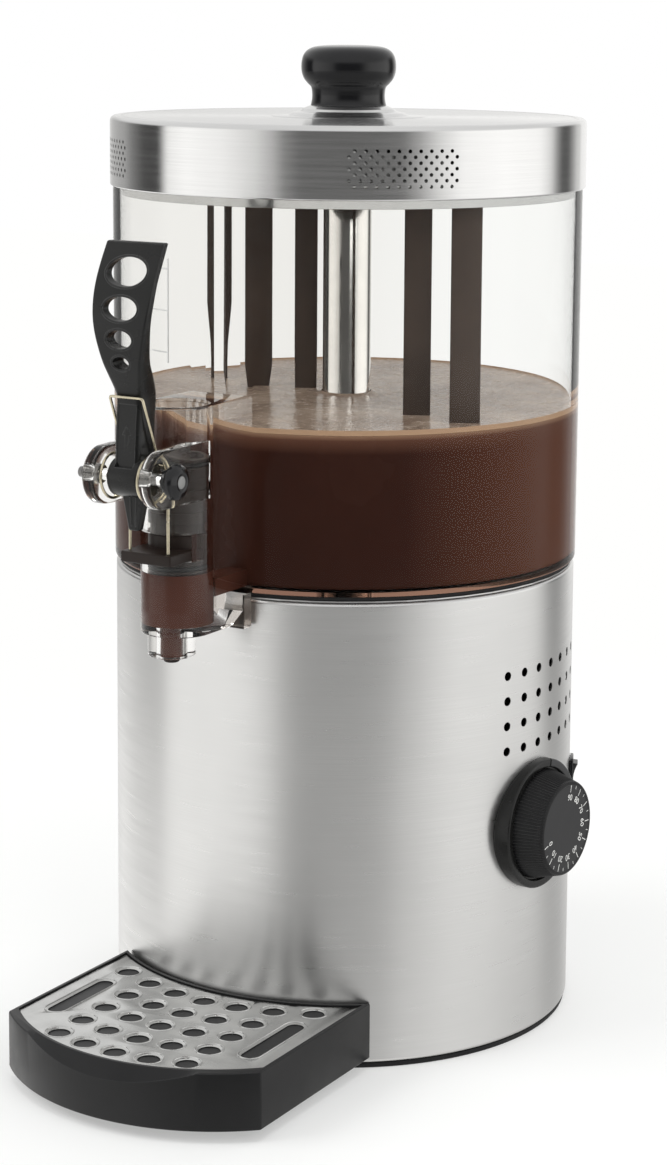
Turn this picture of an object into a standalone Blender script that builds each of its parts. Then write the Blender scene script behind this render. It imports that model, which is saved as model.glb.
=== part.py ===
# Countertop hot chocolate dispenser: a stainless base with a water bath and a gear motor,
# a clear lift-off tank with an agitator and a lever tap, a vented lid and a drip tray.
# Metres, +Z up. The origin is on the tank's axis at the underside of the base pad,
# the tap and the drip tray face -Y and the thermostat dial is on the +X side.
import bmesh
import bpy
import math
from mathutils import Matrix, Vector

# Clearances and helpers that several pieces share
GAP = 0.0003
OVERRUN = 0.004
JOIN = 0.0008
FLOAT_GAP = 0.0005
MERGE = 0.000001
LARGE_STEPS = 48
MEDIUM_STEPS = 20
SMALL_STEPS = 12
TINY_STEPS = 8
NUT_SIDES = 6
FULL_TURN = 2 * math.pi
QUARTER_TURN = math.pi / 2
SHARP_ANGLE = math.radians(35)
MILLIMETRES = 1000

# Base pad, bottom plate and their screws
PAD_THICKNESS = 0.0030
PAD_INSET = 0.0012
PLATE_THICKNESS = 0.0015
SCREW_COUNT = 4
SCREW_CIRCLE_INSET = 0.0070
SCREW_HEAD_RADIUS = 0.0036
SCREW_HEAD_HEIGHT = 0.0020
SCREW_SHANK_RADIUS = 0.0018
SCREW_LENGTH = 0.0085
SCREW_POCKET_CLEARANCE = 0.0012

# Casing
CASING_RADIUS = 0.1400
CASING_HEIGHT = 0.2710
CASING_SHEET = 0.0008
CASING_FLANGE = 0.0130

# Vents in the casing
VENT_RADIUS = 0.0020
VENT_ROWS = 4
VENT_COLUMNS = 10
VENT_ROW_PITCH = 0.0150
VENT_TOP_BELOW_RIM = 0.0505
VENT_FIRST_ANGLE = math.radians(73)
VENT_STEP_ANGLE = math.radians(6.1)
VENT_SIDES = 6

# Water bath, heater and its cut-out
BATH_SHEET = 0.0008
BATH_DEPTH = 0.0340
BATH_EDGE_INSET = 0.0012
CHIMNEY_RADIUS = 0.0180
CHIMNEY_TOP_DROP = 0.0060
HEATER_CIRCLE = 0.0850
HEATER_TUBE = 0.0040
HEATER_OPEN_ANGLE = math.radians(40)
HEATER_TAIL = 0.0180
CUTOUT_RADIUS = 0.0080
CUTOUT_HEIGHT = 0.0090
CUTOUT_DISTANCE = 0.0450
CUTOUT_ANGLE = math.radians(300)

# Gear motor and its bracket
BRACKET_LENGTH = 0.1200
BRACKET_WIDTH = 0.0800
BRACKET_HEIGHT = 0.1050
BRACKET_SHEET = 0.0020
BRACKET_FOOT = 0.0140
GEARBOX_LENGTH = 0.0840
GEARBOX_WIDTH = 0.0680
GEARBOX_HEIGHT = 0.0300
GEARBOX_CORNER = 0.0060
GEARBOX_BOSS_RADIUS = 0.0120
GEARBOX_BOSS_HEIGHT = 0.0040
MOTOR_RADIUS = 0.0280
MOTOR_LENGTH = 0.0480
MOTOR_SHAFT_BUSH = 0.0090
MOTOR_BUSH_LENGTH = 0.0050
OUTPUT_SHAFT_RADIUS = 0.0050
OUTPUT_SHAFT_LENGTH = 0.0190
COUPLER_RADIUS = 0.0110
COUPLER_LENGTH = 0.0280
DRIVE_SHAFT_RADIUS = 0.0050
DRIVE_SQUARE = 0.0068
DRIVE_SQUARE_LENGTH = 0.0180

# Thermostat and its dial, on an axis that turns about the tank axis
DIAL_ANGLE = math.radians(85)
DIAL_HEIGHT = 0.1300
BEZEL_RADIUS = 0.0385
BEZEL_LIP = 0.0048
BEZEL_FLOOR = 0.0022
BEZEL_LIP_HEIGHT = 0.0048
BEZEL_HOLE = 0.0062
BEZEL_NOTCH_WIDTH = 0.0012
BEZEL_NOTCH_DEPTH = 0.0012
BEZEL_NOTCH_ANGLE = math.radians(12)
KNOB_BASE_RADIUS = 0.0325
KNOB_FACE_RADIUS = 0.0280
KNOB_LENGTH = 0.0185
KNOB_EDGE = 0.0010
KNOB_RIB_DEPTH = 0.0006
KNOB_RIBS = 24
KNOB_BORE_DEPTH = 0.0120
DIAL_SHAFT_RADIUS = 0.0030
DIAL_SHAFT_LENGTH = 0.0300
THERMOSTAT_RADIUS = 0.0200
THERMOSTAT_LENGTH = 0.0260
THERMOSTAT_BUSH_RADIUS = 0.0052
CAPILLARY_RADIUS = 0.0010
BULB_RADIUS = 0.0032
BULB_LENGTH = 0.0500

# Power switch
SWITCH_ANGLE = math.radians(115)
SWITCH_HEIGHT = 0.1400
SWITCH_FLANGE_WIDTH = 0.0150
SWITCH_FLANGE_HEIGHT = 0.0225
SWITCH_FLANGE_THICKNESS = 0.0020
SWITCH_BODY_INSET = 0.0012
SWITCH_BODY_DEPTH = 0.0170
ROCKER_WIDTH = 0.0095
ROCKER_HALF_HEIGHT = 0.0082
ROCKER_RISE = 0.0038
ROCKER_DIP = 0.0016
ROCKER_KEEL = 0.0045
ROCKER_TILT = math.radians(8)
ROCKER_POCKET_MARGIN = 0.0009
ROCKER_POCKET_DEPTH = 0.0090

# Mains inlet and terminals
GLAND_HEIGHT = 0.0350
GLAND_RADIUS = 0.0095
GLAND_LENGTH = 0.0120
GLAND_NECK = 0.0065
GLAND_BORE = 0.0036
GLAND_NECK_PROUD = 0.0010
GLAND_NUT_RADIUS = 0.0105
GLAND_NUT_THICKNESS = 0.0045
TERMINAL_LENGTH = 0.0460
TERMINAL_WIDTH = 0.0200
TERMINAL_HEIGHT = 0.0170
TERMINAL_INSET = 0.0420
TERMINAL_POLES = 3
TERMINAL_HOLE_SHARE = 0.22

# Tank
SEAT_GASKET_WIDTH = 0.0075
SEAT_GASKET_THICKNESS = 0.0020
TANK_EDGE_PROUD = 0.0008
TANK_DRAFT = 0.0006
TANK_WALL = 0.0030
TANK_FLOOR = 0.0035
TANK_HEIGHT = 0.2305
SPIGOT_DEPTH = 0.0080
SPIGOT_WALL = 0.0030

# Centre column
COLUMN_RADIUS = 0.01465
COLUMN_WALL = 0.0010
COLUMN_BELOW_RIM = 0.0145
COLUMN_FLANGE_RADIUS = 0.0215
COLUMN_FLANGE = 0.0012
COLUMN_SEAL = 0.0015
COLUMN_TAIL = 0.0040
COLUMN_NUT_RADIUS = 0.0172
COLUMN_BUSH_LENGTH = 0.0120
COLUMN_BUSH_LIP = 0.0012

# Tap housing on the front of the tank
NOSE_HALF_WIDTH = 0.0205
NOSE_STANDOFF = 0.0440
NOSE_ABOVE_PIVOT = 0.0350
NOSE_ROOT_SINK = 0.0023
CHIN_DROP = 0.0152
CHIN_SLOPE_RUN = 0.0200
CHIN_SLOPE_RISE = 0.0110
LUG_HALF_WIDTH = 0.0215
LUG_THICKNESS = 0.0075
LUG_DROP = 0.0190
LUG_CLEARANCE = 0.0015
BORE_RADIUS = 0.0168
BORE_FLOOR = 0.0050
CHANNEL_HALF_WIDTH = 0.0115
CHANNEL_HEIGHT = 0.0095
WINDOW_HEIGHT = 0.0155
WINDOW_CLEARANCE = 0.0005
NOZZLE_OFFSET = 0.0060
NOZZLE_RADIUS = 0.0133
NOZZLE_BORE = 0.0065
NOZZLE_LENGTH = 0.0125

# Ears, pivot pin and its ends
PIVOT_OFFSET = 0.0437
PIVOT_RISE = 0.0780
EAR_INNER = 0.0147
EAR_THICKNESS = 0.0075
EAR_RADIUS = 0.0160
EAR_ROOT_OFFSET = 0.0010
PIN_RADIUS = 0.0030
PIN_LEFT_END = 0.0340
CAP_NECK_RADIUS = 0.0066
CAP_NECK_LENGTH = 0.0042
CAP_RADIUS = 0.0100
CAP_LENGTH = 0.0062
CAP_EDGE = 0.0012
CAP_SOCKET = 0.0070
CLIP_RADIUS = 0.0052
CLIP_LENGTH = 0.0080

# Lever
LEVER_RISE = 0.1263
LEVER_HANDLE_WIDTH = 0.0375
LEVER_SHANK_DEPTH = 0.0175
LEVER_FORWARD = 0.0119
BOSS_RADIUS = 0.0105
BOSS_HALF_LENGTH = 0.0095
LEVER_CORNER_SHARE = 0.55
FINGER_START_SHARE = 0.80
FINGER_DROP = 0.0297
FINGER_TOP_WIDTH = 0.0160
FINGER_TIP_WIDTH = 0.0065
FINGER_THICKNESS = 0.0050
FINGER_SETBACK = 0.0036
HORN_REACH = 0.0160
HORN_RADIUS = 0.0020
HORN_ROOT = 0.0070
HORN_HALF_WIDTH = 0.0060
# Each row: share of the rise, of the forward reach, of the handle width, of the shank depth
LEVER_ROW_SHARES = (
    (0.040, 0.55, 0.440, 1.00),
    (0.238, 0.42, 0.440, 0.98),
    (0.347, 0.32, 0.460, 0.95),
    (0.390, 0.44, 0.520, 0.88),
    (0.440, 0.64, 0.600, 0.76),
    (0.500, 0.86, 0.690, 0.60),
    (0.600, 1.00, 0.840, 0.43),
    (0.680, 0.99, 0.930, 0.33),
    (0.760, 0.83, 0.985, 0.29),
    (0.840, 0.56, 1.000, 0.28),
    (0.920, 0.16, 1.000, 0.29),
    (1.000, -0.29, 0.985, 0.30),
)
# Each hole: share of the rise, half width and half height as shares of the handle width
LEVER_HOLE_SHARES = (
    (0.881, 0.340, 0.205),
    (0.728, 0.290, 0.170),
    (0.599, 0.215, 0.132),
    (0.497, 0.140, 0.092),
)

# Springs and the stirrup that lifts the valve
WIRE_RADIUS = 0.0008
SPRING_COIL_RADIUS = 0.0122
SPRING_TURNS = 1.25
SPRING_TURN_POINTS = 10
SPRING_RUN_STEPS = 4
SPRING_PITCH = 0.0022
SPRING_BAR_RISE = 0.0440
SPRING_BAR_CLEARANCE = 0.0006
STIRRUP_WIRE = 0.0009
STIRRUP_HALF_WIDTH = 0.0125
STIRRUP_BEND = 0.0030

# Valve piston and plug
PISTON_RADIUS = 0.0163
PISTON_RIB_DEPTH = 0.0011
PISTON_RIBS = 3
PISTON_BELOW_PIVOT = 0.0583
PISTON_LENGTH = 0.0640
SEAL_GROOVE_DEPTH = 0.0018
SEAL_HEIGHT = 0.0022
SEAL_EDGE = 0.0016
FOOT_HALF_WIDTH = 0.0165
FOOT_THICKNESS = 0.0062
FOOT_REACH = 0.0315
FOOT_RISE = 0.0080
PLUG_STEM_RADIUS = 0.0042
PLUG_HEAD_RADIUS = 0.0088
PLUG_HEAD_HEIGHT = 0.0030
PLUG_TIP_RADIUS = 0.0046
PLUG_TIP_PROUD = 0.0038

# Agitator
HUB_RADIUS = 0.0190
HUB_HEIGHT = 0.0250
HUB_CAP_HEIGHT = 0.0060
ARM_HEIGHT = 0.0080
ARM_HALF_WIDTH = 0.0035
ARM_ABOVE_HUB_FOOT = 0.0030
BLADE_THICKNESS = 0.0030
BLADE_FLOOR_CLEARANCE = 0.0050
BLADE_YAW = math.radians(30)
BLADE_WALL_CLEARANCE = 0.0158
BLADE_HALF_WIDTH = 0.0087
# Each blade: share of the reach, its angle, shares of the half width at the top and below,
# and the share of its height that is wide
BLADE_SHARES = (
    (0.889, math.radians(169), 0.90, 0.60, 0.40),
    (0.492, math.radians(186), 0.97, 0.52, 0.55),
    (0.254, math.radians(175), 0.80, 0.76, 0.50),
    (0.721, math.radians(-32), 0.91, 0.91, 0.50),
    (1.000, math.radians(-26), 1.00, 1.00, 0.50),
)
ARM_START_SHARE = 0.55
BLADE_BLEND_SHARE = 0.12
ARM_BLADES = ((2, 1, 0), (3, 4))

# Lid
LID_CLEARANCE = 0.0008
LID_SHEET = 0.0008
LID_SKIRT = 0.0412
LID_EDGE = 0.0030
LID_EDGE_STEPS = 2
LID_HEM = 0.0030
LID_HEM_THICKNESS = 0.0004
LID_ABOVE_TANK = 0.0342
BOSS_FOOT_RADIUS = 0.0335
BOSS_TOP_RADIUS = 0.0225
BOSS_HEIGHT = 0.0062
LID_RING_THICKNESS = 0.0030
LID_RING_LIP = 0.0050
LID_RING_LIP_WALL = 0.0010
GRIP_HEIGHT = 0.0360
GRIP_RADIUS = 0.0285
# Each point of the grip's side: share of the radius, share of the height
GRIP_SHARES = (
    (0.80, 0.00), (0.78, 0.05), (0.77, 0.20), (0.79, 0.30), (0.86, 0.36), (0.94, 0.44),
    (0.99, 0.55), (1.00, 0.64), (0.99, 0.74), (0.95, 0.84), (0.86, 0.92), (0.70, 0.975), (0.40, 1.00),
)
GRIP_SCREW_RADIUS = 0.0030
GRIP_SCREW_HEAD = 0.0060
GRIP_SCREW_HEAD_HEIGHT = 0.0030
GRIP_SCREW_DEPTH = 0.0160
WASHER_RADIUS = 0.0100
WASHER_THICKNESS = 0.0012

# Drip tray and its grille
TRAY_HALF_WIDTH = 0.0850
TRAY_BOTTOM = 0.0068
TRAY_HEIGHT = 0.0332
TRAY_WALL = 0.0025
TRAY_FRONT_WALL = 0.0060
TRAY_FLOOR = 0.0025
TRAY_CORNER_REACH = 0.0905
TRAY_REACH = 0.1240
TRAY_CASING_GAP = 0.0012
TRAY_ARC_STEPS = 12
TRAY_LEDGE = 0.0022
TRAY_LEDGE_DROP = 0.0022
TRAY_RIM_LAND = 0.0012
SCOOP_DEPTH = 0.0095
SCOOP_HALF_WIDTH = 0.0570
TONGUE_HALF_WIDTH = 0.0260
TONGUE_THICKNESS = 0.0030
TONGUE_REACH = 0.0120
TONGUE_CLEARANCE = 0.0006
GRILLE_SHEET = 0.0012
GRILLE_CLEARANCE = 0.0005
GRILLE_HOLE = 0.0062
GRILLE_FIRST_REACH = 0.0175
GRILLE_ROW_PITCH = 0.0222
GRILLE_ROWS = 5
GRILLE_COLUMN_PITCH = 0.0214
GRILLE_SIDE_HOLES = 2
GRILLE_ROW_BEND = 0.1300
GRILLE_SLOT_OFFSET = 0.0655
GRILLE_SLOT_HALF_WIDTH = 0.0050
GRILLE_SLOT_NEAR_REACH = 0.0240
GRILLE_SLOT_LENGTH = 0.0470

# Radii and distances from the axis that follow from the sizes above
BATH_RADIUS = CASING_RADIUS - BATH_EDGE_INSET
BATH_WALL_RADIUS = CASING_RADIUS - CASING_FLANGE - GAP
TERMINAL_DISTANCE = CASING_RADIUS - TERMINAL_INSET
TANK_BOTTOM_RADIUS = CASING_RADIUS + TANK_EDGE_PROUD
TANK_TOP_RADIUS = TANK_BOTTOM_RADIUS + TANK_DRAFT
NOSE_CENTRE = CASING_RADIUS + NOSE_STANDOFF
NOZZLE_CENTRE = NOSE_CENTRE + NOZZLE_OFFSET
PIVOT_DISTANCE = NOSE_CENTRE + PIVOT_OFFSET
EAR_ROOT = NOSE_CENTRE + EAR_ROOT_OFFSET
AGITATOR_REACH = TANK_BOTTOM_RADIUS - TANK_WALL - BLADE_WALL_CLEARANCE
LID_RADIUS = TANK_TOP_RADIUS + LID_CLEARANCE + LID_SHEET
TRAY_CORNER = CASING_RADIUS + TRAY_CORNER_REACH
TRAY_APEX = CASING_RADIUS + TRAY_REACH
GRILLE_FIRST_ROW = CASING_RADIUS + GRILLE_FIRST_REACH
GRILLE_SLOT_NEAR = CASING_RADIUS + GRILLE_SLOT_NEAR_REACH
GRILLE_SLOT_FAR = GRILLE_SLOT_NEAR + GRILLE_SLOT_LENGTH

# Heights that follow from the sizes above
CASING_BOTTOM = PAD_THICKNESS + GAP
CASING_TOP = CASING_BOTTOM + CASING_HEIGHT
PLATE_BOTTOM = CASING_BOTTOM + CASING_SHEET + GAP
PLATE_TOP = PLATE_BOTTOM + PLATE_THICKNESS
BATH_RIM_BOTTOM = CASING_TOP + GAP
BATH_RIM_TOP = BATH_RIM_BOTTOM + BATH_SHEET
BATH_FLOOR_BOTTOM = BATH_RIM_TOP - BATH_DEPTH
TANK_BOTTOM = BATH_RIM_TOP + SEAT_GASKET_THICKNESS + 2 * GAP
TANK_FLOOR_TOP = TANK_BOTTOM + TANK_FLOOR
TANK_TOP = TANK_BOTTOM + TANK_HEIGHT
PLATFORM_TOP = PLATE_TOP + GAP + BRACKET_HEIGHT
GEARBOX_BOTTOM = PLATFORM_TOP + GAP
GEARBOX_TOP = GEARBOX_BOTTOM + GEARBOX_HEIGHT
GEARBOX_BOSS_TOP = GEARBOX_TOP + GEARBOX_BOSS_HEIGHT
COLUMN_TOP = TANK_TOP - COLUMN_BELOW_RIM
BUSH_TOP = COLUMN_TOP + GAP + COLUMN_BUSH_LIP
HUB_BOTTOM = BUSH_TOP + GAP
HUB_TOP = HUB_BOTTOM + HUB_HEIGHT
PIVOT_HEIGHT = TANK_BOTTOM + PIVOT_RISE
NOSE_TOP = PIVOT_HEIGHT + NOSE_ABOVE_PIVOT
CHIN_BOTTOM = TANK_BOTTOM - CHIN_DROP
BORE_BOTTOM = CHIN_BOTTOM + BORE_FLOOR
NOZZLE_BOTTOM = CHIN_BOTTOM - NOZZLE_LENGTH
CHANNEL_TOP = TANK_FLOOR_TOP + CHANNEL_HEIGHT
PISTON_BOTTOM = PIVOT_HEIGHT - PISTON_BELOW_PIVOT
FOOT_BOTTOM = PISTON_BOTTOM + FOOT_RISE
FOOT_TOP = FOOT_BOTTOM + FOOT_THICKNESS
LID_TOP = TANK_TOP + LID_ABOVE_TANK
LID_BOTTOM = LID_TOP - LID_SKIRT
GRIP_BOTTOM = LID_TOP + BOSS_HEIGHT + GAP
TRAY_TOP = TRAY_BOTTOM + TRAY_HEIGHT
GRILLE_BOTTOM = TRAY_TOP - TRAY_LEDGE_DROP + GAP
DIAL_AXIS = Vector((math.sin(DIAL_ANGLE), -math.cos(DIAL_ANGLE), 0))


def clear_scene():
    for old in list(bpy.data.objects):
        bpy.data.objects.remove(old, do_unlink=True)


def finish(name, colour, roughness, metallic=0.0, transmission=0.0):
    made = bpy.data.materials.new(name)
    made.use_nodes = True
    shader = made.node_tree.nodes["Principled BSDF"]
    shader.inputs["Base Color"].default_value = (*colour, 1.0)
    shader.inputs["Roughness"].default_value = roughness
    shader.inputs["Metallic"].default_value = metallic
    shader.inputs["Transmission Weight"].default_value = transmission
    return made


def place(name, bm, look, parent=None, rounded=True):
    """Turn a bmesh into a named object with one finish."""
    bmesh.ops.remove_doubles(bm, verts=bm.verts, dist=MERGE)
    bmesh.ops.dissolve_degenerate(bm, dist=MERGE, edges=bm.edges)
    bmesh.ops.recalc_face_normals(bm, faces=bm.faces)
    mesh = bpy.data.meshes.new(name)
    bm.to_mesh(mesh)
    bm.free()
    if rounded:
        mesh.shade_smooth()
        mesh.set_sharp_from_angle(angle=SHARP_ANGLE)
    placed = bpy.data.objects.new(name, mesh)
    if look is not None:
        mesh.materials.append(look)
    bpy.context.scene.collection.objects.link(placed)
    placed.parent = parent
    return placed


def helper(name, bm, parent=None):
    """A shape that only cuts or joins: it is no piece of its own."""
    tool = place(name, bm, None, parent, rounded=False)
    tool.hide_render = True
    tool.display_type = "WIRE"
    return tool


def combine(piece, bm, operation, parent=None):
    tool = helper(f"{piece.name}_tool_{len(piece.modifiers)}", bm, parent)
    step = piece.modifiers.new(f"{operation.lower()}_{len(piece.modifiers)}", "BOOLEAN")
    step.operation = operation
    step.solver = "EXACT"
    step.object = tool


def cut(piece, bm, parent=None):
    combine(piece, bm, "DIFFERENCE", parent)


def join(piece, bm, parent=None):
    combine(piece, bm, "UNION", parent)


def axis_empty(name, matrix):
    empty = bpy.data.objects.new(name, None)
    empty.matrix_world = matrix
    bpy.context.scene.collection.objects.link(empty)
    return empty


def radial_frame(angle, height):
    """Local Z points outwards at the angle from the tap side, local Y points up."""
    outward = Vector((math.sin(angle), -math.cos(angle), 0))
    up = Vector((0, 0, 1))
    side = up.cross(outward)
    turn = Matrix((side, up, outward)).transposed().to_4x4()
    return Matrix.Translation((0, 0, height)) @ turn


def turned(profile, steps, centre_y=0.0, bm=None):
    bm = bm or bmesh.new()
    corners = [bm.verts.new((radius, 0, z)) for radius, z in profile]
    sides = [(corners[i - 1], corners[i]) for i in range(len(corners))]
    edges = [bm.edges.new(side) for side in sides if side[0].co.x > 0 or side[1].co.x > 0]
    bmesh.ops.spin(
        bm, geom=corners + edges, cent=(0, 0, 0), axis=(0, 0, 1), dvec=(0, 0, 0),
        angle=FULL_TURN, steps=steps, use_merge=True, use_duplicate=False,
    )
    bmesh.ops.remove_doubles(bm, verts=bm.verts, dist=MERGE)
    bmesh.ops.translate(bm, verts=bm.verts, vec=(0, centre_y, 0))
    return bm


def rectangle_ring(inner, outer, low, high):
    return [(outer, low), (outer, high), (inner, high), (inner, low)]


def ring(inner, outer, low, high, steps, centre_y=0.0):
    return turned(rectangle_ring(inner, outer, low, high), steps, centre_y)


def disc(radius, low, high, steps, centre_y=0.0):
    return turned([(0, low), (radius, low), (radius, high), (0, high)], steps, centre_y)


def box(low, high, bm=None):
    bm = bm or bmesh.new()
    size = [high[i] - low[i] for i in range(3)]
    middle = [(high[i] + low[i]) / 2 for i in range(3)]
    stretch = Matrix.Diagonal((*size, 1.0))
    bmesh.ops.create_cube(bm, size=1.0, matrix=Matrix.Translation(middle) @ stretch)
    return bm


def rod(radius, low, high, steps, matrix=None, bm=None):
    """A cylinder along local Z from low to high, in the given frame."""
    bm = bm or bmesh.new()
    shift = Matrix.Translation((0, 0, (low + high) / 2))
    bmesh.ops.create_cone(
        bm, cap_ends=True, cap_tris=False, segments=steps, radius1=radius, radius2=radius,
        depth=high - low, matrix=(matrix or Matrix.Identity(4)) @ shift,
    )
    return bm


def prism(outline, low, high, plane="XY", bm=None):
    """Extrude a closed outline: XY along Z, YZ along X, XZ along Y."""
    spots = {
        "XY": lambda a, b, c: (a, b, c),
        "YZ": lambda a, b, c: (c, a, b),
        "XZ": lambda a, b, c: (a, c, b),
    }[plane]
    bm = bm or bmesh.new()
    base = bm.faces.new([bm.verts.new(spots(a, b, low)) for a, b in outline])
    grown = bmesh.ops.extrude_face_region(bm, geom=[base])
    moved = [item for item in grown["geom"] if isinstance(item, bmesh.types.BMVert)]
    bmesh.ops.translate(bm, verts=moved, vec=Vector(spots(0, 0, high)) - Vector(spots(0, 0, low)))
    return bm


def loft(rings, bm=None):
    """Skin closed rings of equal length and cap both ends."""
    bm = bm or bmesh.new()
    rows = [[bm.verts.new(point) for point in points] for points in rings]
    count = len(rows[0])
    for lower, upper in zip(rows, rows[1:]):
        for i in range(count):
            j = (i + 1) % count
            bm.faces.new((lower[i], lower[j], upper[j], upper[i]))
    bm.faces.new(list(reversed(rows[0])))
    bm.faces.new(rows[-1])
    return bm


def tube(name, points, radius, look, parent=None):
    """A wire or pipe along the points, as one unbroken run."""
    curve = bpy.data.curves.new(name, "CURVE")
    curve.dimensions = "3D"
    run = curve.splines.new("POLY")
    run.points.add(len(points) - 1)
    for spot, point in zip(run.points, points):
        spot.co = (*point, 1.0)
    curve.bevel_depth = radius
    curve.bevel_resolution = 1
    curve.use_fill_caps = True
    curve.materials.append(look)
    wire = bpy.data.objects.new(name, curve)
    bpy.context.scene.collection.objects.link(wire)
    wire.parent = parent
    return wire


def arc(centre, radius, start, end, steps):
    turn = (end - start) / steps
    angles = [start + turn * i for i in range(steps + 1)]
    return [(centre[0] + radius * math.cos(a), centre[1] + radius * math.sin(a)) for a in angles]


def drop(radius, offset):
    """Distance from the axis to a round wall of this radius, at a sideways offset."""
    return math.sqrt(radius * radius - offset * offset)


def facet_middle(radius):
    """Distance from the axis to the middle of a facet of a large round wall."""
    return radius * math.cos(math.pi / LARGE_STEPS)


def screw_spots():
    circle = CASING_RADIUS - SCREW_CIRCLE_INSET
    turns = [math.pi / SCREW_COUNT + FULL_TURN * i / SCREW_COUNT for i in range(SCREW_COUNT)]
    return [(circle * math.cos(turn), circle * math.sin(turn)) for turn in turns]


def upright_rods(radius, low, high, spots, steps):
    bm = bmesh.new()
    for x, y in spots:
        rod(radius, low, high, steps, Matrix.Translation((x, y, 0)), bm)
    return bm


def build_base(looks):
    pad_radius = CASING_RADIUS - PAD_INSET
    pad = place("base_pad", disc(pad_radius, 0, PAD_THICKNESS, LARGE_STEPS), looks["rubber"])
    pocket = SCREW_HEAD_RADIUS + SCREW_POCKET_CLEARANCE
    cut(pad, upright_rods(pocket, -OVERRUN, PAD_THICKNESS + OVERRUN, screw_spots(), TINY_STEPS))

    plate_radius = CASING_RADIUS - CASING_SHEET - GAP
    plate = place("bottom_plate", disc(plate_radius, PLATE_BOTTOM, PLATE_TOP, LARGE_STEPS), looks["zinc"])
    hole = SCREW_SHANK_RADIUS + GAP
    cut(plate, upright_rods(hole, CASING_BOTTOM - OVERRUN, PLATE_TOP + OVERRUN, screw_spots(), TINY_STEPS))

    for i, (x, y) in enumerate(screw_spots()):
        head_top = CASING_BOTTOM - GAP
        head_low = head_top - SCREW_HEAD_HEIGHT
        profile = [
            (0, head_low), (SCREW_HEAD_RADIUS, head_low), (SCREW_HEAD_RADIUS, head_top),
            (SCREW_SHANK_RADIUS, head_top), (SCREW_SHANK_RADIUS, head_low + SCREW_LENGTH),
            (0, head_low + SCREW_LENGTH),
        ]
        screw = place(f"base_screw_{i + 1}", turned(profile, TINY_STEPS), looks["zinc"])
        screw.location = (x, y, 0)


def vent_rods():
    bm = bmesh.new()
    for row in range(VENT_ROWS):
        height = CASING_TOP - VENT_TOP_BELOW_RIM - VENT_ROW_PITCH * row
        for column in range(VENT_COLUMNS):
            frame = radial_frame(VENT_FIRST_ANGLE + VENT_STEP_ANGLE * column, height)
            rod(VENT_RADIUS, CASING_RADIUS - OVERRUN, CASING_RADIUS + OVERRUN, VENT_SIDES, frame, bm)
    return bm


def tongue_heights():
    low = PLATE_TOP + GAP
    return low, low + TONGUE_THICKNESS


def build_casing(looks, dial_axis, switch_axis, gland_axis):
    inner = CASING_RADIUS - CASING_SHEET
    flange = CASING_RADIUS - CASING_FLANGE
    profile = [
        (CASING_RADIUS, CASING_BOTTOM), (CASING_RADIUS, CASING_TOP), (flange, CASING_TOP),
        (flange, CASING_TOP - CASING_SHEET), (inner, CASING_TOP - CASING_SHEET),
        (inner, CASING_BOTTOM + CASING_SHEET), (flange, CASING_BOTTOM + CASING_SHEET),
        (flange, CASING_BOTTOM),
    ]
    casing = place("casing_shell", turned(profile, LARGE_STEPS), looks["steel"])
    cut(casing, vent_rods())
    near, far = CASING_RADIUS - OVERRUN, CASING_RADIUS + OVERRUN
    cut(casing, rod(THERMOSTAT_BUSH_RADIUS + GAP, near, far, SMALL_STEPS), dial_axis)
    cut(casing, rod(GLAND_NECK + GAP, near, far, SMALL_STEPS), gland_axis)
    half_width, half_height = switch_body_half()
    opening = [half_width + GAP, half_height + GAP]
    cut(casing, box((-opening[0], -opening[1], near), (opening[0], opening[1], far)), switch_axis)
    low, high = tongue_heights()
    slot = TONGUE_HALF_WIDTH + TONGUE_CLEARANCE
    back = drop(CASING_RADIUS, slot) - CASING_SHEET - OVERRUN
    cut(casing, box(
        (-slot, -CASING_RADIUS - OVERRUN, low - GAP),
        (slot, -back, high + TONGUE_CLEARANCE),
    ))
    hole = SCREW_SHANK_RADIUS + GAP
    low_end, high_end = CASING_BOTTOM - OVERRUN, CASING_BOTTOM + CASING_SHEET + OVERRUN
    cut(casing, upright_rods(hole, low_end, high_end, screw_spots(), TINY_STEPS))


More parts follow.
